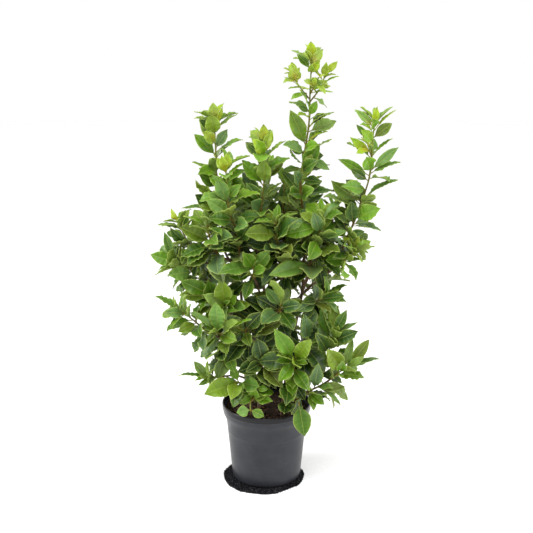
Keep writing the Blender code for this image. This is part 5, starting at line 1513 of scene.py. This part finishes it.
def make_bark():
    """Bay bark, grown: thin, grey-brown, finely cracked along the stem, with paler breathing pores."""
    material, tree, where = new_material("bark_thin", {"IOR": 1.5, "Roughness": 0.85})
    long = add_node(tree, "VectorMath", {"operation": "MULTIPLY", 0: where, 1: (1, 1, 0.2)})
    cracks = add_node(tree, "TexNoise", {"Vector": long, "Scale": 1 / BARK_CRACK, "Detail": 5.0,
                                         "Roughness": 0.65})
    patches = add_node(tree, "TexNoise", {"Vector": where, "Scale": 1 / BARK_PATCH, "Detail": 2.0})
    pores = add_node(tree, "TexNoise", {"Vector": where, "Scale": 1 / BARK_PORE, "Detail": 1.0})
    brown = add_node(tree, "ValToRGB", {"Fac": cracks}, BARK_BROWNS)
    greyed = lay_over(tree, brown, "#77705c", patches, 0.45, 0.7, 0.4)
    dotted = lay_over(tree, greyed, "#b39c7a", pores, 0.64, 0.72, 0.5)
    return finish_material(material, dotted, None, cracks, 0.0006)


def make_pot_plastic():
    """Recycled polypropylene, injection-moulded: anthracite and satin, with a faint haze of dust and rubs.

    The rim band comes off a polished part of the mould and is shinier; its dark colour is painted shade.
    """
    material, tree, where = new_material("polypropylene_moulded", {"IOR": 1.49, "Specular IOR Level": 0.25})
    flat = add_node(tree, "VectorMath", {"operation": "MULTIPLY", 0: where, 1: (0.3, 0.3, 1)})
    haze = add_node(tree, "TexNoise", {"Vector": where, "Scale": 1 / POT_HAZE, "Detail": 3.0})
    rubs = add_node(tree, "TexNoise", {"Vector": flat, "Scale": 1 / POT_RUB, "Detail": 4.0})
    grain = add_node(tree, "TexNoise", {"Vector": where, "Scale": 1 / POT_GRAIN, "Detail": 1.0})
    grey = add_node(tree, "ValToRGB", {"Fac": haze}, POT_GREYS)
    dusty = lay_over(tree, grey, "#4b4b4c", rubs, 0.55, 0.85, 0.18)
    rough = add_node(tree, "MapRange", {"Value": rubs, "From Min": 0.3, "From Max": 0.8, "To Min": 0.30,
                                        "To Max": 0.40})
    up = add_node(tree, "SeparateXYZ", {"Vector": where})
    band = POT_TOP - POT_BAND_HEIGHT
    rim = add_node(tree, "MapRange", {"Value": up.outputs["Z"], "From Min": band - 0.0008,
                                      "From Max": band + 0.0008})
    # The rim band is painted dark as shade; only its lower roughness belongs to the plastic.
    rim_painted_shade = add_node(tree, "Mix", {"data_type": "RGBA", "Factor": rim, "A": dusty, "B": "#111114"})
    shinier = add_node(tree, "Math", {"operation": "MULTIPLY_ADD", 0: rim, 1: -0.1, 2: rough})
    return finish_material(material, rim_painted_shade, shinier, grain, 0.00004)


def make_compost():
    """Peat and composted bark, sieved and moist: nearly black crumbs, with brown fibres between them."""
    material, tree, where = new_material("compost_sieved", {"IOR": 1.33, "Roughness": 0.92})
    crumbs = add_node(tree, "TexNoise", {"Vector": where, "Scale": 1 / COMPOST_CRUMB, "Detail": 5.0,
                                         "Roughness": 0.7})
    fibres = add_node(tree, "TexNoise", {"Vector": where, "Scale": 1 / COMPOST_FIBRE, "Detail": 2.0})
    dark = add_node(tree, "ValToRGB", {"Fac": crumbs}, COMPOST_BROWNS)
    mixed = lay_over(tree, dark, "#6e4c30", fibres, 0.6, 0.75, 0.5)
    return finish_material(material, mixed, None, crumbs, 0.0012)


def make_bark_chip():
    """Pine bark, chopped: reddish brown where it is dry, and nearly black where it is wet."""
    material, tree, where = new_material("pine_bark_chopped", {"IOR": 1.5, "Roughness": 0.8})
    shade = add_node(tree, "Attribute", {"attribute_name": "shade"})
    kind = add_node(tree, "SeparateColor", {"Color": shade.outputs["Color"]}).outputs
    grain = add_node(tree, "TexNoise", {"Vector": where, "Scale": 1 / CHIP_GRAIN, "Detail": 4.0})
    brown = add_node(tree, "ValToRGB", {"Fac": kind["Green"]}, CHIP_BROWNS)
    wet = lay_over(tree, brown, "#2a1a10", grain, 0.4, 0.7, 0.5)
    return finish_material(material, wet, None, grain, 0.0005)


def make_mat_fibre():
    """Polyester fibre, matted and needled: black and knobbly, with painted highlights on the knobs and stray
    fibres and painted shade between them.
    """
    material, tree, where = new_material("polyester_matting_needled", {"IOR": 1.52, "Roughness": 0.9,
                                                                       "Specular IOR Level": 0.1})
    knobs = add_node(tree, "TexVoronoi", {"Vector": where, "Scale": 1 / MAT_KNOB, "Randomness": 0.55})
    strands = add_node(tree, "TexNoise", {"Vector": where, "Scale": 1 / MAT_STRAND, "Detail": 3.0})
    # The ramp over the knobs is black fibre with painted highlight on the knob tops and painted shade in the
    # hollows
    black = add_node(tree, "ValToRGB", {"Fac": knobs}, MAT_BLACK_AND_PAINTED_LIGHT)
    # The paler strands are painted glints of stray fibres
    mat_with_painted_light = lay_over(tree, black, "#3a3a3f", strands, 0.62, 0.75, 0.35)
    height = add_node(tree, "Math", {"operation": "SUBTRACT", 0: 1.0, 1: knobs})
    return finish_material(material, mat_with_painted_light, None, height, 0.0015)


def make_backdrop_paper():
    """Backdrop paper, rolled and matt: white, with a barely visible fibre."""
    material, tree, where = new_material("backdrop_paper_matt", {"IOR": 1.5, "Roughness": 0.9,
                                                                 "Specular IOR Level": 0.2})
    fibre = add_node(tree, "TexNoise", {"Vector": where, "Scale": 1 / PAPER_FIBRE, "Detail": 2.0})
    white = add_node(tree, "ValToRGB", {"Fac": fibre}, PAPER_WHITES)
    return finish_material(material, white, None, fibre, 0.0001)


# Stems, buds and wood

def stem_places(start, end, step):
    rings = max(int(math.ceil((end - start) / step)), 2)
    return [start + (end - start) * i / rings for i in range(rings + 1)]


def add_young_stem(sheaf, axis, rng):
    """The leafy part of a stem, a little thicker where each leaf springs, greener towards the tip."""
    start = 0.0 if axis.twig else max(axis.leafy - JOINT_COVER, 0.0)
    places = stem_places(start, axis.total, STEM_STEP)
    centres, headings = zip(*[axis.at(s) for s in places])
    young = axis.plan["age"]
    tone = rng.random()
    radii = []
    shades = []
    for s in places:
        near = min([abs(s - r) for r in axis.roots] or [1.0])
        thin = TAPER_TIP + TAPER_REST * min((axis.total - s) / TAPER_LENGTH, 1.0)
        radii.append((axis.radius(s) * thin) * (1 + KNOT * math.exp(-(near / KNOT_LENGTH) ** 2)))
        share = (s - start) / (axis.total - start)
        ripe = min(max(share * (RIPE_TIP + RIPE_TIP_MORE * young) + RIPE_FOOT * young, 0.0), 1.0)
        shades.extend([(ripe, tone, 1.0, 1.0)] * STEM_SIDES)
    sheaf.add(*tube(centres, headings, radii, STEM_SIDES), 1, np.array(shades))


def add_bud(sheaf, root, heading, out, size, tone):
    """A small pointed bud in the angle of a leaf, or at the end of a stem."""
    axis = (heading * BUD_ALONG + out * BUD_OUT).normalized()
    side = axis.orthogonal().normalized()
    other = axis.cross(side)
    sides = BUD_SIDES
    verts = []
    for share, width in BUD_SECTIONS:
        for k in range(sides):
            angle = CIRCLE * k / sides
            verts.append(root + axis * (size * share) + (side * math.cos(angle) + other * math.sin(angle))
                         * (size * BUD_SLENDER * width))
    verts.append(root + axis * size)
    faces = [(4, 3, 2, 1, 0)] + belts(2, sides)
    faces += [(2 * sides + k, 2 * sides + (k + 1) % sides, 3 * sides) for k in range(sides)]
    sheaf.add(verts, faces, 1, (0.55 + 0.3 * tone, tone, 1.0, 1.0))


def add_bark_tube(sheaf, axis):
    """The woody part of a stem: slightly uneven, with a swollen collar where it leaves its parent."""
    places = stem_places(0.0, axis.woody, BARK_STEP)
    centres, headings = zip(*[axis.at(s) for s in places])
    sides = BARK_SIDES if axis.parent is None else BRANCH_BARK_SIDES
    collar = 0.0 if axis.parent is None else COLLAR
    radii = [axis.radius(s) * (1 + collar * math.exp(-(s / COLLAR_LENGTH) ** 2)) for s in places]
    verts, faces = tube(centres, headings, radii, sides)
    shaped = []
    for i, vert in enumerate(verts):
        centre = centres[i // sides]
        bulge = 1 + BARK_BULGE * noise.noise(Vector((vert.x * 260, vert.y * 260, vert.z * 70)))
        shaped.append(centre + (vert - centre) * bulge)
    sheaf.add(shaped, faces, 0)


def dress_shoot(family, materials):
    """One leafy shoot: its stems, leaves and buds as one piece in the place of its solid."""
    name = family[0].name
    rng = random.Random(name + " dress")
    sheaf = Sheaf()
    for axis in family:
        add_young_stem(sheaf, axis, rng)
        tip, heading = axis.at(axis.total)
        add_bud(sheaf, tip - heading * BUD_SUNK, heading, heading, TIP_BUD, rng.random())
        for leaf in axis.leaves:
            verts, faces, shade, place = fine_leaf(leaf, rng)
            sheaf.add(verts, faces, 0, shade, place)
            nearest = min(range(len(axis.route)), key=lambda i: (axis.route[i] - leaf.root).length)
            spring, heading = axis.at(axis.lengths[nearest])
            if rng.random() < BUD_SHARE:
                spring = spring + heading * BUD_ABOVE + leaf.along * BUD_BESIDE
                add_bud(sheaf, spring, heading, leaf.along, rng.uniform(*BUD_SIZE), rng.random())
    piece = sheaf.make("leafy_" + name, materials)
    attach(piece, "root")
    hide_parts("shoot_" + name)


def dress_wood(axes, name, bark):
    """One woody stem with the wood of its branches as one piece."""
    sheaf = Sheaf()
    for axis in axes.values():
        if axis.wood == name and not axis.twig:
            add_bark_tube(sheaf, axis)
    piece = sheaf.make("bark_" + name, [bark])
    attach(piece, "root")
    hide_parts("wood_" + name)


# Fine pot, compost and mat

def pot_profile():
    """The pot's whole section: foot, body with faint rings, shoulder, collar, rim band and inside."""
    foot, shoulder, band = pot_levels()
    outer = [(radius, foot + lift) for radius, lift in FOOT_CURVE]
    for share in BODY_STATIONS:
        radius = POT_FOOT_RADIUS + (POT_BODY_TOP_RADIUS - POT_FOOT_RADIUS) * share
        height = foot + FOOT_HEIGHT + (shoulder - foot - FOOT_HEIGHT) * share
        outer.append((radius, height))
        if share == RING_STATION:
            outer += [(radius + out, height + lift) for out, lift in RING_CURVE]
    outer += [(radius, shoulder + lift) for radius, lift in COLLAR_CURVE]
    outer += [(radius, band + lift) for radius, lift in BAND_CURVE]
    outer += [(POT_RIM_RADIUS - inset, POT_TOP - drop) for inset, drop in RIM_CURVE]
    inner = [(POT_RIM_RADIUS - BAND_INSET, band)]
    body = outer[len(FOOT_CURVE):-len(RIM_CURVE) - 2]
    inner += [(r - POT_WALL, z) for r, z in reversed(body) if z < band - BELOW_BAND]
    inner += [(radius, foot + lift) for radius, lift in FLOOR_CURVE]
    return outer + inner


def cut_out(piece, cutter):
    """Takes the cutter out of a piece and removes it."""
    cut = piece.modifiers.new("cut", "BOOLEAN")
    cut.operation = "DIFFERENCE"
    cut.solver = "EXACT"
    cut.object = cutter
    bpy.context.view_layer.update()
    mesh = bpy.data.meshes.new_from_object(piece.evaluated_get(bpy.context.evaluated_depsgraph_get()))
    piece.modifiers.clear()
    piece.data = mesh
    bpy.data.objects.remove(cutter, do_unlink=True)


def dress_pot(material):
    """The pot, turned from its section, with its drain holes."""
    pot = make_object("moulded_pot", *turned(pot_profile(), POT_SIDES), [material])
    for k in range(DRAIN_HOLES):
        angle = CIRCLE * (k + 0.5) / DRAIN_HOLES
        ring = POT_FOOT_RADIUS - DRAIN_INSET
        centre = Vector((ring * math.cos(angle), ring * math.sin(angle), 0.0))
        ends = [centre, centre + Vector((0, 0, DRILL_LENGTH))]
        drill = tube(ends, [Vector((0, 0, 1))] * 2, [DRAIN_RADIUS] * 2, DRAIN_SIDES)
        cut_out(pot, make_object("drill", *drill, [material]))
    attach(pot, "root")
    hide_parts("pot")


def compost_height(x, y):
    """The top of the compost: the solid's own swells, with crumbs and hollows on them."""
    place = Vector((x, y, 0.0))
    lumps = 0.0022 * noise.fractal(place * 70, 0.8, 2.1, 4) + 0.0010 * noise.noise(place * 420)
    return soil_height(x, y) + lumps


def dress_compost(material, chip):
    """The compost as a lumpy body with bark chips lying on it."""
    rings = COMPOST_RINGS
    sides = COMPOST_SIDES
    wall = wall_radius(SOIL_TOP - SOIL_EDGE) - SOIL_GAP
    verts = [Vector((0, 0, compost_height(0, 0)))]
    for i in range(1, rings + 1):
        edge = EDGE_RISE * max(i / rings - EDGE_FROM, 0) / EDGE_OVER
        for k in range(sides):
            angle = CIRCLE * k / sides
            reach = wall * i / rings
            x, y = reach * math.cos(angle), reach * math.sin(angle)
            verts.append(Vector((x, y, compost_height(x, y) + edge)))
    below = [(wall_radius(z) - SOIL_GAP, z) for z in COMPOST_LEVELS]
    below.append((POT_FOOT_RADIUS - 0.010, pot_inside()[-1][1] + GAP))
    for radius, height in below:
        verts += circle(radius, height, sides)
    faces = [(0, 1 + k, 1 + (k + 1) % sides) for k in range(sides)]
    faces += belts(rings - 1 + len(below), sides, 1, True)
    faces.append(tuple(reversed(range(len(verts) - sides, len(verts)))))
    sheaf = Sheaf()
    sheaf.add(verts, faces, 0)
    rng = random.Random("chips")
    for i in range(CHIPS):
        reach = (wall - CHIP_MARGIN) * math.sqrt(rng.random())
        angle = rng.uniform(0, CIRCLE)
        x, y = reach * math.cos(angle), reach * math.sin(angle)
        add_chip(sheaf, Vector((x, y, compost_height(x, y))), rng.uniform(*CHIP_LENGTH), rng)
    piece = sheaf.make("compost_with_chips", [material, chip])
    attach(piece, "root")
    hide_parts("soil")


def add_chip(sheaf, place, size, rng):
    """One broken bit of bark: a crooked slab with bevelled ends, lying at a small tilt."""
    turn = Matrix.Rotation(rng.uniform(0, CIRCLE), 3, "Z")
    turn = turn @ Matrix.Rotation(rng.uniform(-0.5, 0.5), 3, "X")
    turn = turn @ Matrix.Rotation(rng.uniform(-0.4, 0.4), 3, "Y")
    wide = size * rng.uniform(*CHIP_WIDE)
    thick = size * rng.uniform(*CHIP_THICK)
    verts = []
    for share, narrow in CHIP_SECTIONS:
        for sx, sz in ((-1, -1), (1, -1), (1, 1), (-1, 1)):
            corner = Vector((size * share * rng.uniform(*CHIP_UNEVEN),
                             wide * 0.5 * narrow * sx * rng.uniform(*CHIP_CROOKED),
                             thick * 0.5 * narrow * sz * rng.uniform(*CHIP_CROOKED)))
            verts.append(place + turn @ corner + Vector((0, 0, thick * CHIP_LIFT)))
    faces = [(0, 3, 2, 1), (12, 13, 14, 15)] + belts(3, 4)
    sheaf.add(verts, faces, 1, (0.5, rng.random(), 1.0, 1.0))


def mat_reach(angle):
    """The mat's hand-cut outline, as in the solids, with small bites between the loops and a frayed edge."""
    reach = MAT_RADIUS * (1 + 0.010 * math.sin(5 * angle + 0.6) + 0.006 * math.sin(11 * angle))
    snip = math.cos(angle + SNIP_TURN)
    if snip > 0.5:
        reach = min(reach, MAT_RADIUS * SNIP_REACH / snip)
    loops = abs(math.sin(angle * math.pi * MAT_RADIUS / MAT_LOOP))
    around = Vector((math.cos(angle), math.sin(angle), 0))
    reach = reach - MAT_BITE * loops + MAT_WOBBLE * noise.noise(around * 24)
    return reach + MAT_FRAY * noise.noise(around * 30)


def mat_height(x, y):
    """The knobbly top of the mat: loops in rows both ways, pushed about a little."""
    drift = noise.noise(Vector((x, y, 0)) * 90) * 0.8
    rows = math.sin(x / MAT_LOOP * 2 * math.pi + drift) * math.sin(y / MAT_LOOP * 2 * math.pi - drift)
    return MAT_THICKNESS - MAT_HOLLOW + MAT_RELIEF * rows + MAT_FUZZ * noise.noise(Vector((x, y, 0)) * 900)


def dress_mat(material):
    """The mat: a knobbly top, a rounded frayed edge and a flat underside."""
    rings = MAT_RINGS
    sides = MAT_SIDES
    edges = [(mat_reach(angle), math.cos(angle), math.sin(angle))
             for angle in [CIRCLE * k / sides for k in range(sides)]]
    verts = []
    for i in range(rings + 1):
        for edge, cosine, sine in edges:
            reach = edge * i / rings
            x = MAT_CENTRE[0] + reach * cosine
            y = MAT_CENTRE[1] + reach * sine
            verts.append(Vector((x, y, mat_height(x, y) - (MAT_DROP if i == rings else 0.0))))
    for bulge, height in ((MAT_BULGE, MAT_THICKNESS * 0.45), (-MAT_BULGE, 0.0)):
        for edge, cosine, sine in edges:
            reach = edge + bulge
            verts.append(Vector((MAT_CENTRE[0] + reach * cosine, MAT_CENTRE[1] + reach * sine, height)))
    faces = belts(rings + 2, sides, 0, True)
    faces.append(tuple(reversed(range(len(verts) - sides, len(verts)))))
    mat = make_object("crumb_mat", verts, faces, [material])
    bm = bmesh.new()
    bm.from_mesh(mat.data)
    bmesh.ops.remove_doubles(bm, verts=bm.verts, dist=1e-6)
    bm.to_mesh(mat.data)
    bm.free()
    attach(mat, "root")
    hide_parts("mat")


# Studio

def make_studio():
    """A white paper floor, a pale room light and large soft boxes left, right and above the front."""
    corners = ((-1, -1), (1, -1), (1, 1), (-1, 1))
    floor = make_object("floor", [(FLOOR_REACH * x, FLOOR_REACH * y, -FLOOR_DROP) for x, y in corners],
                        [(0, 1, 2, 3)], [make_backdrop_paper()])
    world = bpy.data.worlds.new("studio")
    world.use_nodes = True
    background = world.node_tree.nodes["Background"]
    background.inputs[0].default_value = colour("#ffffff")
    background.inputs[1].default_value = WORLD_LIGHT
    scene = bpy.context.scene
    scene.world = world
    for name, place, aim, size, power in SOFTBOXES:
        light = bpy.data.lights.new(name, "AREA")
        light.shape = "RECTANGLE"
        light.size, light.size_y = size
        light.energy = power
        lamp = bpy.data.objects.new(name, light)
        lamp.location = place
        lamp.rotation_euler = (Vector(aim) - Vector(place)).to_track_quat("-Z", "Y").to_euler()
        scene.collection.objects.link(lamp)
    scene.view_settings.view_transform = "Standard"
    scene.view_settings.look = "None"
    scene.view_settings.exposure = 0.0


def make_camera():
    """The photograph's viewpoint: two metres in front, a little above the middle, looking slightly down."""
    camera = bpy.data.objects.new("camera", bpy.data.cameras.new("camera"))
    camera.data.sensor_width = 36.0
    camera.data.lens = CAMERA_LENS
    camera.location = CAMERA_PLACE
    camera.rotation_euler = (math.radians(90 - CAMERA_TILT), 0, 0)
    bpy.context.scene.collection.objects.link(camera)
    bpy.context.scene.camera = camera


def build():
    """The whole plant in its pot, on its mat."""
    pot_shell = turned(pot_outside() + pot_inside(), POT_SEGMENTS)
    axes = grow_plant([("pot", *pot_shell), ("soil", *soil_shape())])
    leafy = [make_leaf_blade(), make_stem_skin()]
    for axis in axes.values():
        if not axis.twig:
            dress_shoot([a for a in axes.values() if a.host is axis], leafy)
    bark = make_bark()
    for axis in axes.values():
        if axis.parent is None:
            dress_wood(axes, axis.name, bark)
    dress_pot(make_pot_plastic())
    dress_compost(make_compost(), make_bark_chip())
    dress_mat(make_mat_fibre())


make_camera()
make_studio()
build()
